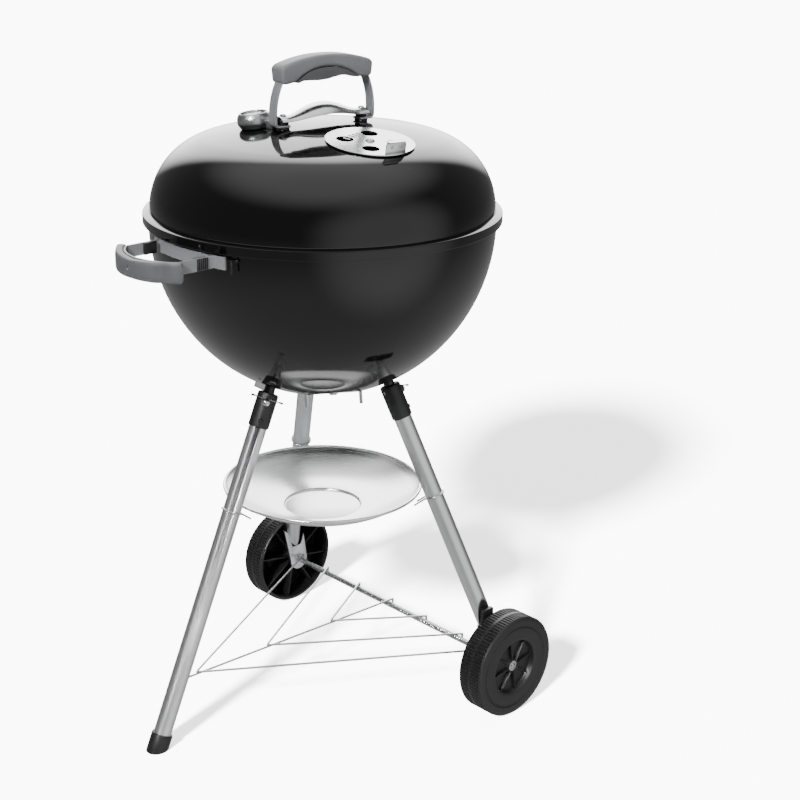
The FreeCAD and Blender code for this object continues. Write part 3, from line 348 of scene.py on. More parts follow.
# ---- Lid ----
# The upper half: a shallow dome with a rolled shoulder, drawn from the same
# steel and fired with the same enamel. Its stepped lip drops over the bowl's
# rim. The vent pad is pressed flat and pierced.
LID_R = 236.8
LIP_R = 246.5
RIM_Z = 728.5
KNUCKLE = 100.2
CROWN = 800.0
KNUCKLE_Z = RIM_Z + 2.8
KNUCKLE_R = LID_R - KNUCKLE
CROWN_Z = KNUCKLE_Z - math.sqrt((CROWN - KNUCKLE) ** 2 - KNUCKLE_R ** 2)
LID_TURN = -8.0


def dome(steel):
    """Section of the lid from the middle of its top down to its wall."""
    lean = math.degrees(math.asin(KNUCKLE_R / (CROWN - KNUCKLE)))
    crown = arc_points((0, CROWN_Z), CROWN - steel, 90, 90 - lean, 24)
    return crown + arc_points((KNUCKLE_R, KNUCKLE_Z), KNUCKLE - steel, 90 - lean, 0, 40)[1:]


lip = [(LID_R, 730.9), (LID_R + 0.5, 730.4), (245.3, 728.75), (246.1, 728.3), (LIP_R, 727.5), (LIP_R, 717.0),
       (246.2, 716.5), (245.2, 716.5), (245.0, 717.0), (245.0, 727.0), (235.3, 729.0)]
lid_section = [(0.0, CROWN_Z + CROWN)] + dome(0)[1:] + lip + dome(STEEL)[::-1]
lid_section[-1] = (0.0, CROWN_Z + CROWN - STEEL)
lid = turned("lid_shell", lid_section, 256)
DAMPER_OUT = 112.0
DAMPER_PAD = 44.0
DAMPER_HOLE = 11.5
DAMPER_RING = 33.0
DAMPER_SINK = DAMPER_PAD ** 2 / (2 * CROWN)
damper_normal = Vector((DAMPER_OUT, 0, math.sqrt(CROWN ** 2 - DAMPER_OUT ** 2))).normalized()
damper_place = seat((DAMPER_OUT, 0, CROWN_Z + damper_normal.z * CROWN), damper_normal, Vector((1, 0, 0)))
mouth = cutter(DAMPER_PAD, -30, 12, sides=96)
moved(mouth, damper_place)
cut(lid, mouth)
pad = cutter(DAMPER_PAD + PAD_LAP, -DAMPER_SINK - STEEL, -DAMPER_SINK, sides=96)
DAMPER_HOLES = [math.radians(90 * i - 33) for i in range(4)]
for spot in DAMPER_HOLES:
    cut(pad, cutter(DAMPER_HOLE, -20, 10, DAMPER_RING * math.cos(spot), DAMPER_RING * math.sin(spot), 48))
moved(pad, damper_place)
cut(lid, pad, "UNION")
moved(lid, about_axis(LID_TURN))
settle(lid, "lid", "enamel", enamel, "lid", angle=25)

# ---- Lid damper ----
# A polished aluminium disc that turns on a rivet over the four vent holes,
# with an upturned thumb tab that has two pressed dimples, and a plain
# embossed panel between the holes.
bright = new_material("polished_aluminium", Base_Color="#d6d7d9", Metallic=1.0, Roughness=0.2)
bright_rub = noise(bright, place_of(bright), 9, Detail=5.0, Roughness=0.7)
roughen(bright, bright_rub, 0.12, 0.26)
tint(bright, bright_rub, "#cbccce", "#dfe0e1")
emboss(bright, bright_rub, 0.04, 0.0003)


def box_piece(name, low, high):
    """A block between two corners, in millimetres."""
    middle = [(a + b) / 2 * MM for a, b in zip(low, high)]
    bpy.ops.object.select_all(action="DESELECT")
    bpy.ops.mesh.primitive_cube_add(size=1, location=middle)
    piece = bpy.context.object
    piece.name = name
    piece.scale = [(b - a) * MM for a, b in zip(low, high)]
    bpy.ops.object.transform_apply(location=True, rotation=True, scale=True)
    return piece


DAMPER_R = 59.0
DAMPER_LIFT = 0.3
TAB_HALF = 15.5
TAB_TOP = 18.0
disc = turned("disc", [(2.6, 0), (DAMPER_R - 0.2, 0), (DAMPER_R, 0.2), (DAMPER_R, STEEL - 0.2),
                       (DAMPER_R - 0.2, STEEL), (2.6, STEEL)], 192)
for spot in DAMPER_HOLES:
    cut(disc, cutter(DAMPER_HOLE, -5, 10, DAMPER_RING * math.cos(spot), DAMPER_RING * math.sin(spot)))
TAB_X = math.sqrt(DAMPER_R ** 2 - TAB_HALF ** 2)
tab = box_piece("tab", (TAB_X - STEEL, -TAB_HALF, 0.2), (TAB_X, TAB_HALF, TAB_TOP))
pick(tab)
bpy.ops.object.mode_set(mode="EDIT")
bpy.ops.mesh.select_all(action="DESELECT")
bpy.ops.object.mode_set(mode="OBJECT")
for edge in tab.data.edges:
    ends = [tab.data.vertices[v].co for v in edge.vertices]
    edge.select = all(e.z > (TAB_TOP - 1) * MM for e in ends) and abs(ends[0].x - ends[1].x) > 0.5 * MM
bpy.ops.object.mode_set(mode="EDIT")
bpy.ops.mesh.bevel(offset=5 * MM, segments=6, affect="EDGES")
bpy.ops.object.mode_set(mode="OBJECT")
soften(tab, 0.35, 2, 50)
parts = [disc, tab]
for y in (-6.5, 6.5):
    dimple = turned("dimple", [(0, 0.9), (1.0, 0.8), (1.9, 0.3), (2.3, -0.2), (0, -0.2)], 20)
    moved(dimple, Matrix.Translation((TAB_X * MM, y * MM, 11 * MM)) @ Matrix.Rotation(math.pi / 2, 4, "Y"))
    parts.append(dimple)
for rib in range(5):
    bar = box_piece("bar", (-33.0 + 0.8 * abs(rib - 2), -17.2 + 8 * rib, 1.3), (-21.0, -14.8 + 8 * rib, 2.3))
    soften(bar, 0.5, 3)
    moved(bar, Matrix.Rotation(math.radians(25), 4, "Z"))
    parts.append(bar)
damper = joined("lid_damper_disc", parts)
damper_rise = Matrix.Translation((0, 0, (DAMPER_LIFT - DAMPER_SINK) * MM))
moved(damper, about_axis(LID_TURN) @ damper_place @ damper_rise)
settle(damper, "lid_damper", "polished_aluminium", bright, "lid_damper")

steel = new_material("zinc_plated_steel", Base_Color="#c9cbcd", Metallic=1.0, Roughness=0.25)
steel_bloom = noise(steel, place_of(steel), 4, Detail=4.0)
tint(steel, steel_bloom, "#b3b5b8", "#dadcdd")
roughen(steel, steel_bloom, 0.16, 0.34)


def carry(node, body, slot, material, angle=32, rounding=0.0):
    """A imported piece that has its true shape: a copy with its triangles joined and its edges eased."""
    mesh = frame["nodes"][node].data.copy()
    piece = bpy.data.objects.new(node + "_piece", mesh)
    bpy.context.scene.collection.objects.link(piece)
    tidy_mesh(piece)
    if rounding:
        pick(piece)
        bpy.ops.object.mode_set(mode="EDIT")
        bpy.ops.mesh.select_all(action="SELECT")
        bpy.ops.mesh.dissolve_limited(angle_limit=math.radians(1))
        bpy.ops.object.mode_set(mode="OBJECT")
        soften(piece, rounding, 3, 40)
    return settle(piece, body, slot, material, node, angle=angle)


carry("lid_damper_rivet", "lid", "rivet_steel", steel)

# ---- Lid handle ----
# A grey powder-coated steel strap stands on two washers and carries a moulded
# grip with a softer, darker insert on its underside. A polished shield under
# the hand, held between black spacers, keeps the lid's heat off the fingers.
strap_paint = new_material("grey_powder_coat", Base_Color="#77787b", Roughness=0.45)
strap_peel = noise(strap_paint, place_of(strap_paint), 0.8, Detail=3.0)
tint(strap_paint, strap_peel, "#707174", "#7e7f82")
emboss(strap_paint, strap_peel, 0.15, 0.0002)


def ribbon(name, path, width, thickness, rounding):
    """A bent flat strap along a path of (y, z) points, in millimetres, square to X."""
    points = [(side * width / 2, y, z) for y, z in path for side in (-1, 1)]
    faces = [(2 * i, 2 * i + 1, 2 * i + 3, 2 * i + 2) for i in range(len(path) - 1)]
    piece = from_points(name, points, [], faces)
    finish(piece, "SOLIDIFY", thickness=thickness * MM, offset=0.0, use_even_offset=True)
    tidy_mesh(piece)
    soften(piece, rounding, 3, 50)
    return piece


STRAP_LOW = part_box("lid_handle_strap")[0].z / MM
GRIP_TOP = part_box("lid_handle_grip")[1].z / MM
foot_mid = STRAP_LOW + 1.5
half_path = [(55.5, foot_mid), (72, foot_mid), (75.0, foot_mid + 0.6), (77.0, foot_mid + 2.2),
             (78.0, foot_mid + 5.0)]
half_path += [(78.0 - 13.5 * ((z - 862) / 50) ** 2 if z > 862 else 78.0, z) for z in range(856, 910, 5)]
half_path += [(62.5, 910.5), (58.0, 913.0), (50.0, 913.5)]
strap_path = [(-y, z) for y, z in half_path] + [(y, z) for y, z in half_path[::-1]]
strap = ribbon("handle_strap", strap_path, 18.0, 3.0, 0.9)
moved(strap, about_axis(LID_TURN))
settle(strap, "lid", "painted_strap", strap_paint, "lid_handle_strap", angle=40)

grip_plastic = new_material("glass_filled_nylon", Base_Color="#616265", Roughness=0.5)
grip_place = place_of(grip_plastic)
grip_grain = noise(grip_plastic, grip_place, 0.9, Detail=3.0)
tint(grip_plastic, noise(grip_plastic, grip_place, 30), "#646568", "#727376")
roughen(grip_plastic, grip_grain, 0.4, 0.58)
emboss(grip_plastic, grip_grain, 0.2, 0.0002)


def slab(name, loop, half_width):
    """A plate cut to a closed loop of (y, z) points and as wide as stated across X."""
    count = len(loop)
    points = [(-half_width, y, z) for y, z in loop]
    piece = from_points(name, points, [], [tuple(range(count))])
    bpy.ops.object.mode_set(mode="EDIT")
    bpy.ops.mesh.select_all(action="SELECT")
    bpy.ops.mesh.extrude_region_move(TRANSFORM_OT_translate={"value": (2 * half_width * MM, 0, 0)})
    bpy.ops.object.mode_set(mode="OBJECT")
    tidy_mesh(piece)
    return piece


arch = [(y, GRIP_TOP - 12 * (abs(y) / 72.0) ** 2.2) for y in range(-68, 69, 8)]
arch = [(-73.0, 921.0), (-72.0, 924.0)] + arch + [(72.0, 924.0), (73.0, 921.0)]
groove = [(y, 921.5 - 17.0 * (abs(y) / 50.0) ** 2.4) for y in range(50, -51, -10)]
right_end = [(71.0, 904.5), (62.0, 903.5)]
left_end = [(-62.0, 902.5), (-71.0, 903.0)]
grip = slab("lid_grip", arch + right_end + groove + left_end, 15.0)
soften(grip, 4.5, 5, 50)
moved(grip, about_axis(LID_TURN))
settle(grip, "lid", "grip_plastic", grip_plastic, "lid_handle_grip", angle=40)

soft_insert = new_material("soft_touch_rubber", Base_Color="#4a4b4d", Roughness=0.7)
insert_grain = add(soft_insert, "ShaderNodeTexVoronoi", Vector=place_of(soft_insert), Scale=1000 / 1.2)
roughen(soft_insert, insert_grain.outputs["Distance"], 0.6, 0.8)
emboss(soft_insert, insert_grain.outputs["Distance"], 0.3, 0.0003)
ridge = [(y, 920.9 - 17.0 * (abs(y) / 50.0) ** 2.4) for y in range(-49, 50, 7)]
waves = [(49, 904.3), (40, 905.2), (32, 908.0), (22, 908.5), (10, 906.8), (0, 905.0), (-13, 904.2),
         (-26, 905.0), (-38, 905.3), (-46, 902.8)]
insert = slab("grip_insert", ridge + waves, 13.0)
soften(insert, 2.0, 4, 50)
moved(insert, about_axis(LID_TURN))
settle(insert, "lid", "soft_insert", soft_insert, "lid_handle_insert", angle=40)
carry("heat_shield", "lid", "polished_aluminium", bright)

black_plastic = new_material("black_nylon", Base_Color="#1a1a1b", Roughness=0.42)
black_place = place_of(black_plastic)
black_grain = noise(black_plastic, black_place, 1.1, Detail=3.0)
tint(black_plastic, noise(black_plastic, black_place, 22, Detail=3.0), "#0f0f10", "#171718")
roughen(black_plastic, black_grain, 0.34, 0.52)
emboss(black_plastic, black_grain, 0.15, 0.0002)
carry("handle_spacers", "lid", "black_plastic", black_plastic, rounding=0.6)
carry("handle_foot_pads", "lid", "black_plastic", black_plastic)
carry("handle_screws", "lid", "bright_steel", steel)

# ---- Thermometer ----
# A round bimetal thermometer in a spun, satin steel case stands on the lid
# beside the handle, tied to its foot by a moulded fairing. The dial is black
# with pale ticks, behind a flat glass.
satin = new_material("satin_spun_steel", Base_Color="#b9bbbc", Metallic=1.0, Roughness=0.3)
satin_grain = noise(satin, place_of(satin), 0.7, Detail=2.0)
roughen(satin, satin_grain, 0.22, 0.4)
emboss(satin, satin_grain, 0.08, 0.0001)
GAUGE_OUT = 91.0
GAUGE_TURN = -119.0
gauge_normal = Vector((GAUGE_OUT, 0, math.sqrt(CROWN ** 2 - GAUGE_OUT ** 2))).normalized()
gauge_foot = (GAUGE_OUT, 0, CROWN_Z + gauge_normal.z * CROWN)
gauge_place = about_axis(LID_TURN + GAUGE_TURN) @ seat(gauge_foot, gauge_normal, Vector((1, 0, 0)))
case = turned("gauge_case", [(4, 0.3), (18, 0.3), (19.5, 0.9), (22.2, 5.0), (22.8, 6.5), (23, 8),
                             (23, 13.5), (22.6, 15.2), (20.2, 19.6), (19.4, 20.6), (18.6, 21.0),
                             (17.6, 20.8), (17.3, 20.2), (17.3, 12.0), (4, 12.0)], 96)
moved(case, gauge_place)
settle(case, "lid", "bright_steel", satin, "gauge_bezel", angle=28)

dial_print = new_material("printed_dial", Base_Color="#0b0b0c", Roughness=0.6)
roughen(dial_print, noise(dial_print, place_of(dial_print), 0.5), 0.5, 0.7)
tick_print = new_material("pale_print", Base_Color="#d8d6cc", Roughness=0.6)
roughen(tick_print, noise(tick_print, place_of(tick_print), 0.5), 0.5, 0.7)
carry("gauge_dial", "lid", "dial_print", dial_print)
ticks = []
for index in range(25):
    length = 3.4 if index % 4 == 0 else 1.9
    tick = box_piece("tick", (15.6 - length, -0.22, 13.15), (15.6, 0.22, 13.35))
    moved(tick, Matrix.Rotation(math.radians(40 + 11 * index), 4, "Z"))
    ticks.append(tick)
tick_ring = joined("dial_ticks", ticks)
moved(tick_ring, gauge_place)
settle(tick_ring, "lid", "dial_print", tick_print)
carry("gauge_needle", "gauge_needle", "dial_print", tick_print)
carry("gauge_stem", "lid", "bright_steel", steel)
glass = new_material("dial_glass", Base_Color="#f4f7f7", Roughness=0.02, IOR=1.5, Transmission_Weight=1.0)
roughen(glass, noise(glass, place_of(glass), 8), 0.0, 0.04)
carry("gauge_glass", "lid", "clear_glass", glass)
carry("gauge_bracket", "lid", "black_plastic", satin, rounding=1.5)

# ---- Bottom dampers ----
# Three aluminium discs turn on rivets under the bowl. Each has two tabs turned
# down at its edge, to push it open and shut by hand.
for name in VENTS:
    carry("vent_damper_" + name, "vent_damper_" + name, "vent_metal", bright)
carry("vent_rivets", "stand", "rivet_steel", steel)

# ---- Bowl handle ----
# A grey steel bracket runs along the bowl and out to a bowed, moulded grip,
# held by one screw. A small wire hook for tools hangs at its right end.
HALF_CHORD = 71.0
BOW_RISE = 35.0
BAR_THICK = 11.6
SCOOP_DEEP = 3.2
SQUARENESS = 0.45
GRIP_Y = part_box("bowl_handle_grip")[0].y / MM - AXIS.y / MM
GRIP_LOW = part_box("bowl_handle_grip")[0].z / MM
GRIP_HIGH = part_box("bowl_handle_grip")[1].z / MM
BOW = (HALF_CHORD ** 2 + BOW_RISE ** 2) / (2 * BOW_RISE)
bow_centre_y = GRIP_Y + BOW
sections = 64
ring_points = 28
grip_points = []
bow_end = math.degrees(math.asin(HALF_CHORD / BOW))
for i in range(sections + 1):
    share = -1 + 2 * i / sections
    angle = math.radians(share * bow_end)
    x_here = BOW * math.sin(angle)
    scoop = math.exp(-((x_here - 52) / 6.5) ** 2) * SCOOP_DEEP
    lobe = SCOOP_DEEP / (1 + math.exp(-(x_here - 60) / 1.2))
    curl = 1 / (1 + math.exp((x_here + 62) / 1.5))
    end = min(1.0, (1 - abs(share)) * sections / 3.0)
    shrink = 0.72 + 0.28 * math.sqrt(max(0.0, 1 - (1 - end) ** 2))
    thick = (BAR_THICK + 2.5 * curl) * shrink
    middle_r = BOW - BAR_THICK / 2 - 0.8 - scoop * 0.6 + lobe * 0.1
    tall = (GRIP_HIGH - GRIP_LOW - 1.0 - 3.0 * (1 - abs(share)) ** 2) * shrink
    mid_z = (GRIP_HIGH + GRIP_LOW) / 2 - 1.0 * (1 - abs(share))
    for j in range(ring_points):
        a = 2 * math.pi * j / ring_points
        out = math.copysign(abs(math.cos(a)) ** SQUARENESS, math.cos(a)) * thick / 2
        up = math.copysign(abs(math.sin(a)) ** SQUARENESS, math.sin(a)) * tall / 2
        if out > 0:
            out -= scoop * (1 - abs(up) / tall)
        radius = middle_r + out
        grip_points.append((radius * math.sin(angle), bow_centre_y - radius * math.cos(angle), mid_z + up))
grip_faces = []
for i in range(sections):
    for j in range(ring_points):
        k = (j + 1) % ring_points
        a = i * ring_points
        grip_faces.append((a + j, a + k, a + ring_points + k, a + ring_points + j))
grip_faces.append(tuple(range(ring_points)))
grip_faces.append(tuple(sections * ring_points + j for j in range(ring_points)))
bowl_grip = from_points("bowl_grip", grip_points, [], grip_faces)
tidy_mesh(bowl_grip)
moved(bowl_grip, Matrix.Translation(AXIS))
grip_mid_z = (GRIP_HIGH + GRIP_LOW) / 2
bore = cutter(3.6, 0, 14, sides=32)
moved(bore, Matrix.Translation((AXIS.x, AXIS.y + GRIP_Y * MM + 3.5 * MM, grip_mid_z * MM))
      @ Matrix.Rotation(math.pi / 2, 4, "X"))
cut(bowl_grip, bore)
# The bowl grip is the same nylon as the lid grip; this darker copy of it paints shade onto the bowl grip.
grip_plastic_painted_shade = grip_plastic.copy()
grip_plastic_painted_shade.name = "glass_filled_nylon_painted_shade"
for node in grip_plastic_painted_shade.node_tree.nodes:
    if node.type == "MIX":
        # these two darker tones are painted shade, not a different plastic
        node.inputs[6].default_value = linear("#4e4f52")
        node.inputs[7].default_value = linear("#5a5b5e")
settle(bowl_grip, "stand", "grip_plastic", grip_plastic_painted_shade, "bowl_handle_grip", angle=40)
carry("bowl_handle_bracket", "stand", "painted_strap", strap_paint)
carry("bowl_handle_screw", "stand", "bright_steel", steel)
carry("tool_hook", "stand", "bright_steel", black_plastic)
ribs = []
for side in (-1, 1):
    inner = side * 55.3
    x0, x1 = sorted((inner - side * 0.2, inner - side * 4.0))
    ribs.append(box_piece("arm_sleeve", (x0, -262.0, 695.8), (x1, -243.0, 711.7)))
    for rib in range(6):
        y = -260.0 + 3.0 * rib
        x0, x1 = sorted((side * 57.9, side * 59.6))
        ribs.append(box_piece("rib", (x0, y, 696.0), (x1, y + 1.4, 711.5)))
for rib in ribs:
    soften(rib, 0.4, 2)
arm_ribs = joined("arm_ribs", ribs)
moved(arm_ribs, Matrix.Translation(AXIS))
settle(arm_ribs, "stand", "black_plastic", black_plastic)

# ---- Grates ----
# Plated steel rods welded into two round grates: a fine one for food, with two
# lifting handles, and a coarse one for charcoal below it.
carry("cooking_grate", "cooking_grate", "bright_steel", steel, angle=50)
carry("grate_handles", "cooking_grate", "bright_steel", steel, angle=50)
carry("grate_lugs", "stand", "enamel", enamel)
carry("charcoal_grate", "charcoal_grate", "bright_steel", steel, angle=50)

# ---- Legs ----
# Drawn aluminium tubes, 25.4 mm across, under black moulded collars. A spring
# button, a domed bolt and a straight wire clip hold each collar. The rear
# tubes are pressed flat at the bottom round the axle.
tube_metal = new_material("drawn_aluminium", Base_Color="#c3c5c6", Metallic=1.0, Roughness=0.3)
tube_place = place_of(tube_metal)
tube_along = add(tube_metal, "ShaderNodeMapping", Vector=tube_place, Scale=(1.0, 1.0, 0.02))
tube_lines = noise(tube_metal, tube_along.outputs["Vector"], 1.6, Detail=3.0)
tint(tube_metal, noise(tube_metal, tube_place, 60, Detail=3.0), "#d2d3d5", "#e3e4e5")
roughen(tube_metal, tube_lines, 0.24, 0.4)
emboss(tube_metal, tube_lines, 0.06, 0.0002)
for name, angle in LEGS.items():
    carry("leg_tube_" + name, "stand", "leg_aluminium", tube_metal)
    top = COLLAR_TOP
    collar = turned("collar_" + name, [(8.1, top - 3), (8.1, top), (12.0, top), (13.9, top - 0.6),
                                       (14.6, top - 2.2), (14.75, top - 5), (14.75, top - 47),
                                       (14.4, top - 49.2), (13.6, top - 50), (12.8, top - 50),
                                       (12.8, top - 6), (11.6, top - 4.6), (11.6, top - 3)], 64)
    face = Matrix.Rotation(math.radians(49), 4, "Z")
    window = box_piece("window", (8, -5, top - 11), (18, 5, top - 5.4))
    moved(window, Matrix.Rotation(math.radians(229), 4, "Z"))
    cut(collar, window)
    bore = cutter(3.6, 9, 20, sides=32)
    moved(bore, face @ Matrix.Translation((0, 0, (top - 40) * MM)) @ Matrix.Rotation(math.pi / 2, 4, "Y"))
    cut(collar, bore)
    moved(collar, on_leg(angle))
    settle(collar, "stand", "black_plastic", black_plastic, "leg_collar_" + name, angle=30)
    carry("leg_button_" + name, "leg_button_" + name, "black_plastic", black_plastic)
carry("leg_bolts", "stand", "bright_steel", steel)
carry("leg_clips", "stand", "bright_steel", steel)
tips = []
for angle in LEGS.values():
    for side in (-1, 1):
        tip = turned("tip", [(0, -3.2), (0.9, -3.0), (1.5, -2.2), (1.5, 2.2), (0.9, 3.0), (0, 3.2)], 16)
        place = on_leg(angle) @ Matrix.Rotation(math.radians(49), 4, "Z")
        place = place @ Matrix.Translation((15.75 * MM, side * 20 * MM, (COLLAR_TOP - 8) * MM))
        moved(tip, place @ Matrix.Rotation(math.pi / 2, 4, "X"))
        tips.append(tip)
settle(joined("clip_tips", tips), "stand", "black_plastic", black_plastic)
for side in ("right", "left"):
    carry("leg_plate_" + side, "stand", "leg_aluminium", tube_metal, rounding=0.6)
    carry("leg_end_cap_" + side, "stand", "black_plastic", black_plastic, rounding=1.2)
carry("foot_cap", "stand", "black_plastic", black_plastic, rounding=0.8)

# ---- Axle and wheels ----
# A plated steel axle runs through the rear leg ends. The black wheels are
# blow-moulded, with two rows of lateral ribs, a groove in the outer face and
# a recessed hub with eight fins. Push nuts hold them.
WHEEL_R = 76.0
WHEEL_W = 42.0
RIBS = 96
tread = [(WHEEL_R - 2.4, 1.2), (WHEEL_R, 3.0), (WHEEL_R, 3.4), (WHEEL_R, 18.6), (WHEEL_R, 19.0),
         (WHEEL_R, 23.0), (WHEEL_R, 23.4), (WHEEL_R, 38.6), (WHEEL_R, 39.0), (WHEEL_R - 1.4, 40.8),
         (WHEEL_R - 3.4, 41.7)]
outer_face = [(WHEEL_R - 7, WHEEL_W), (63.2, WHEEL_W), (62.4, 41.4), (61.6, 40.8), (60.8, 40.8),
              (60.2, 41.4), (59.4, 41.9), (46.0, 41.9), (43.0, 41.6), (41.2, 40.6), (40.2, 39.0),
              (39.6, 34.4), (39.0, 33.4), (24.0, 33.0), (12.0, 33.6), (11.0, 34.6), (10.6, 37.6),
              (9.6, 38.4), (8.9, 38.0), (8.6, 34.1), (4.28, 34.0)]
inner_face = [(4.28, 2.0), (10.5, 2.0), (11.0, 2.5), (11.0, 29.0), (38.0, 29.0), (42.0, 35.6), (69.0, 36.0),
              (70.0, 35.0), (70.0, 0.6), (70.6, 0.0), (73.0, 0.0)]
rib_step = 2 * math.pi / RIBS
for side, sign in (("right", 1), ("left", -1)):
    wheel = turned("wheel_" + side + "_body", tread + outer_face + inner_face, RIBS * 4)
    for vertex in wheel.data.vertices:
        radius = math.hypot(vertex.co.x, vertex.co.y)
        z = vertex.co.z / MM
        in_row = 3.2 < z < 18.8 or 23.2 < z < 38.8
        turn = math.atan2(vertex.co.y, vertex.co.x) + (rib_step / 2 if z > 21 else 0.0)
        if radius > (WHEEL_R - 0.5) * MM and in_row and round(turn / rib_step * 4) % 4 in (2, 3):
            vertex.co.x *= (WHEEL_R - 1.8) / WHEEL_R
            vertex.co.y *= (WHEEL_R - 1.8) / WHEEL_R
    fins = [wheel]
    for fin in range(8):
        blade = box_piece("fin", (10.0, -1.5, 33.2), (39.8, 1.5, 37.0))
        for vertex in blade.data.vertices:
            if vertex.co.z > 35 * MM:
                vertex.co.y *= 0.45
                vertex.co.z += 1.5 * MM if vertex.co.x < 20 * MM else 0.0
        rear = box_piece("web", (10.5, -1.0, 5.0), (70.2, 1.0, 36.2))
        for blade_part in (blade, rear):
            soften(blade_part, 0.4, 2)
            moved(blade_part, Matrix.Rotation(math.radians(45 * fin + 10), 4, "Z"))
            fins.append(blade_part)
    wheel = joined("wheel_" + side + "_body", fins)
    if sign < 0:
        moved(wheel, Matrix.Rotation(math.pi, 4, "X"))
    low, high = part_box("wheel_" + side)
    moved(wheel, Matrix.Rotation(math.pi / 2, 4, "Y"))
    inner_x = low.x if sign > 0 else high.x
    moved(wheel, Matrix.Translation((inner_x, (low.y + high.y) / 2, (low.z + high.z) / 2)))
    settle(wheel, "wheel_" + side, "black_plastic", black_plastic, "wheel_" + side, angle=25)
carry("axle", "stand", "bright_steel", steel)
carry("axle_nuts", "stand", "bright_steel", steel, rounding=0.4)

# ---- Ash dish ----
# A spun aluminium dish with a rolled rim and a stepped floor, hung under the
# bowl on three wire clips that wrap the legs.
spun = new_material("spun_aluminium", Base_Color="#dcdddf", Metallic=1.0, Roughness=0.2)
spun_centre = add(spun, "ShaderNodeMapping", Vector=place_of(spun), Location=(-AXIS.x, -AXIS.y, 0.0),
                  Scale=(1.0, 1.0, 0.0))
spun_radius = add(spun, "ShaderNodeVectorMath", {"operation": "LENGTH"})
spun.node_tree.links.new(spun_centre.outputs["Vector"], spun_radius.inputs[0])
spun_lines = add(spun, "ShaderNodeTexNoise", {"noise_dimensions": "1D"}, W=spun_radius.outputs["Value"],
                 Scale=1000 / 1.4, Detail=4.0, Roughness=0.7)
spun_rings = spun_lines.outputs["Fac"]
roughen(spun, spun_rings, 0.16, 0.34)
tint(spun, spun_rings, "#e2e3e4", "#f3f3f4")
emboss(spun, spun_rings, 0.08, 0.0002)
dish_low, dish_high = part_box("ash_dish")
DISH_Z = dish_high.z / MM - 2.2
DISH_R = (dish_high.x - dish_low.x) / 2 / MM
dish_rim = DISH_R - 2.2
slope = [(dish_rim - (dish_rim - 60.0) * i / 14,
          DISH_Z - 33.2 * math.sin(math.pi / 2 * i / 14) ** 0.9) for i in range(1, 15)]
floor_z = dish_low.z / MM + 1.2
dish_top = [(dish_rim - 1.5, DISH_Z + 1.5)] + slope + [(57.4, DISH_Z - 33.2), (56.2, DISH_Z - 33.9),
                                                      (55.2, floor_z + 0.7), (53.8, floor_z), (0.0, floor_z)]
dish_under = [(max(r - 0.3, 0.0), z - 1.2) for r, z in dish_top[1:]]
roll = arc_points((dish_rim, DISH_Z), 2.2, 200, -130, 22)
section = [(0.0, floor_z - 1.2)] + dish_under[::-1][1:] + roll[::-1] + dish_top[1:]
dish = turned("dish_body", section, 192)
moved(dish, about_axis())
settle(dish, "stand", "polished_aluminium", spun, "ash_dish", angle=28)
for name in LEGS:
    carry("dish_clip_" + name, "stand", "bright_steel", steel, angle=50)

# ---- Wire rack ----
# Bright plated wires welded to a spine: three open V shapes that run from the
# front leg over the axle, with their ends turned down behind it.
for node in ("rack_spine", "rack_wires_right", "rack_wires_left"):
    carry(node, "stand", "bright_steel", steel, angle=50)

# ---- Studio ----
# A pale floor, a dim even surround with one bright wall behind, a key lamp
# from the front left for the bare metal and plastic, and a lamp for the floor
# whose shadow shows the kettle's outline.
floor_paint = new_material("studio_floor", Base_Color="#f2f2f2", Roughness=0.9, Emission_Color="#ffffff",
                           Emission_Strength=1.5)
floor_mottle = add(floor_paint, "ShaderNodeTexNoise", Vector=place_of(floor_paint), Scale=2.0)
roughen(floor_paint, floor_mottle.outputs["Fac"], 0.85, 0.95)
bpy.ops.object.select_all(action="DESELECT")
bpy.ops.mesh.primitive_plane_add(size=120, location=(0, 0, 0))
floor = bpy.context.object
floor.name = "studio_floor"
floor.data.materials.append(floor_paint)
floor.visible_glossy = False
floor.visible_diffuse = False
floor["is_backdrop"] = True

world = bpy.data.worlds.new("studio")
bpy.context.scene.world = world
world.use_nodes = True
sky = world.node_tree
shade = sky.nodes["Background"]
look = add(world, "ShaderNodeTexCoord")
ahead = add(world, "ShaderNodeVectorMath", {"operation": "DOT_PRODUCT"})
sky.links.new(look.outputs["Generated"], ahead.inputs[0])
ahead.inputs[1].default_value = (-0.68, 0.60, 0.42)
parts_of = add(world, "ShaderNodeSeparateXYZ", Vector=look.outputs["Generated"])


def glow(source, start, end, strength):
    """A smooth rise of the surround's light, from nothing at start to its strength at end."""
    return add(world, "ShaderNodeMapRange", {"interpolation_type": "SMOOTHSTEP"}, Value=source,
               From_Min=start, From_Max=end, To_Min=0.0, To_Max=strength).outputs["Result"]


def plus(first, second):
    """The sum of two lights."""
    total = add(world, "ShaderNodeMath", {"operation": "ADD"})
    for socket, value in zip(total.inputs, (first, second)):
        if isinstance(value, float):
            socket.default_value = value
        else:
            sky.links.new(value, socket)
    return total.outputs["Value"]


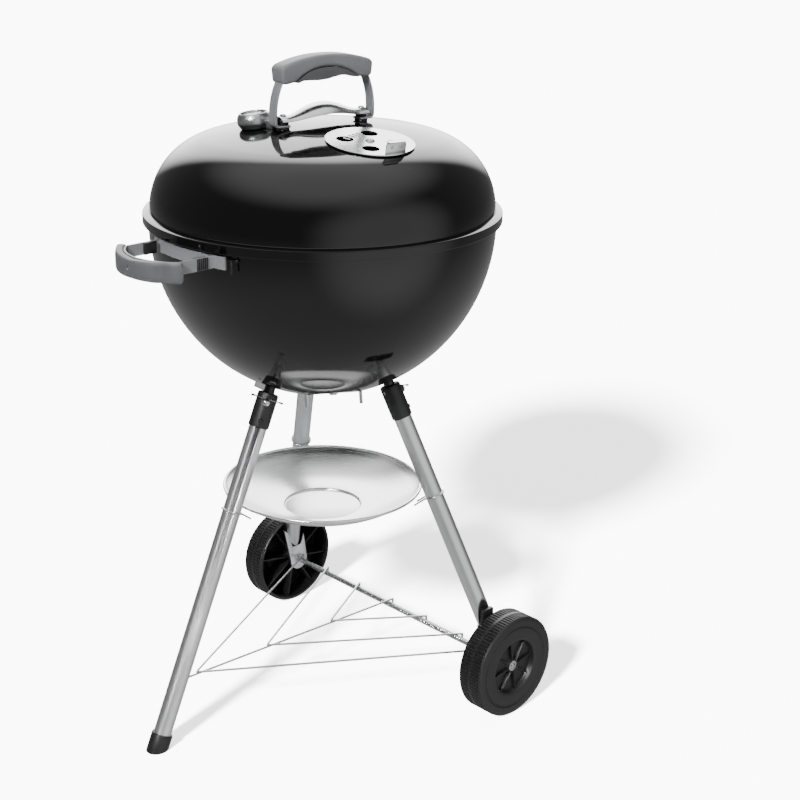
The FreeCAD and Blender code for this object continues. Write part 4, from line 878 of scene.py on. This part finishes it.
wall = glow(ahead.outputs["Value"], 0.81, 0.94, 5.4)
below = glow(parts_of.outputs["Z"], 0.0, -0.7, 0.4)
overhead = glow(parts_of.outputs["Z"], 0.55, 0.95, 1.3)
side_panel = glow(parts_of.outputs["X"], 0.55, 0.95, 0.8)
surround = plus(plus(plus(wall, below), plus(overhead, side_panel)), 0.17)
sight = add(world, "ShaderNodeLightPath")
level = add(world, "ShaderNodeMix", {"data_type": "FLOAT"}, Factor=sight.outputs["Is Camera Ray"])
sky.links.new(surround, level.inputs[2])
level.inputs[3].default_value = 8.0
sky.links.new(level.outputs[0], shade.inputs["Strength"])
shade.inputs["Color"].default_value = (1, 1, 1, 1)

bare = bpy.data.collections.new("bare_metal_and_plastic")
ground = bpy.data.collections.new("floor_only")
ground.objects.link(floor)
for piece in bpy.context.scene.objects:
    if piece.type == "MESH" and piece != floor and enamel.name not in piece.data.materials:
        bare.objects.link(piece)


def lamp(name, energy, reached):
    """A distant lamp from the front left that lights only the pieces it is meant for."""
    data = bpy.data.lights.new(name, "SUN")
    data.energy = energy
    data.angle = math.radians(7)
    light = bpy.data.objects.new(name, data)
    bpy.context.scene.collection.objects.link(light)
    light.rotation_mode = "QUATERNION"
    light.rotation_quaternion = Vector((-0.279, 0.782, -0.545)).to_track_quat("-Z", "Y")
    light.light_linking.receiver_collection = reached


lamp("key_lamp", 4.2, bare)
lamp("floor_lamp", 52.0, ground)

camera_data = bpy.data.cameras.new("camera")
camera = bpy.data.objects.new("camera", camera_data)
bpy.context.scene.collection.objects.link(camera)
camera_data.sensor_width = 36.0
camera_data.lens = 70.75
camera_data.shift_x = 0.0969
camera_data.shift_y = -0.0138
camera_data.clip_start = 0.05
camera_data.clip_end = 200.0
azimuth = math.radians(48.62)
pitch = math.radians(19.37)
stand_off = 2.12
camera.location = (AXIS.x + stand_off * math.sin(azimuth), AXIS.y - stand_off * math.cos(azimuth), 1.2096)
aim = Vector((-math.sin(azimuth) * math.cos(pitch), math.cos(azimuth) * math.cos(pitch), -math.sin(pitch)))
camera.rotation_mode = "QUATERNION"
camera.rotation_quaternion = aim.to_track_quat("-Z", "Y")
bpy.context.scene.camera = camera

low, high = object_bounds()
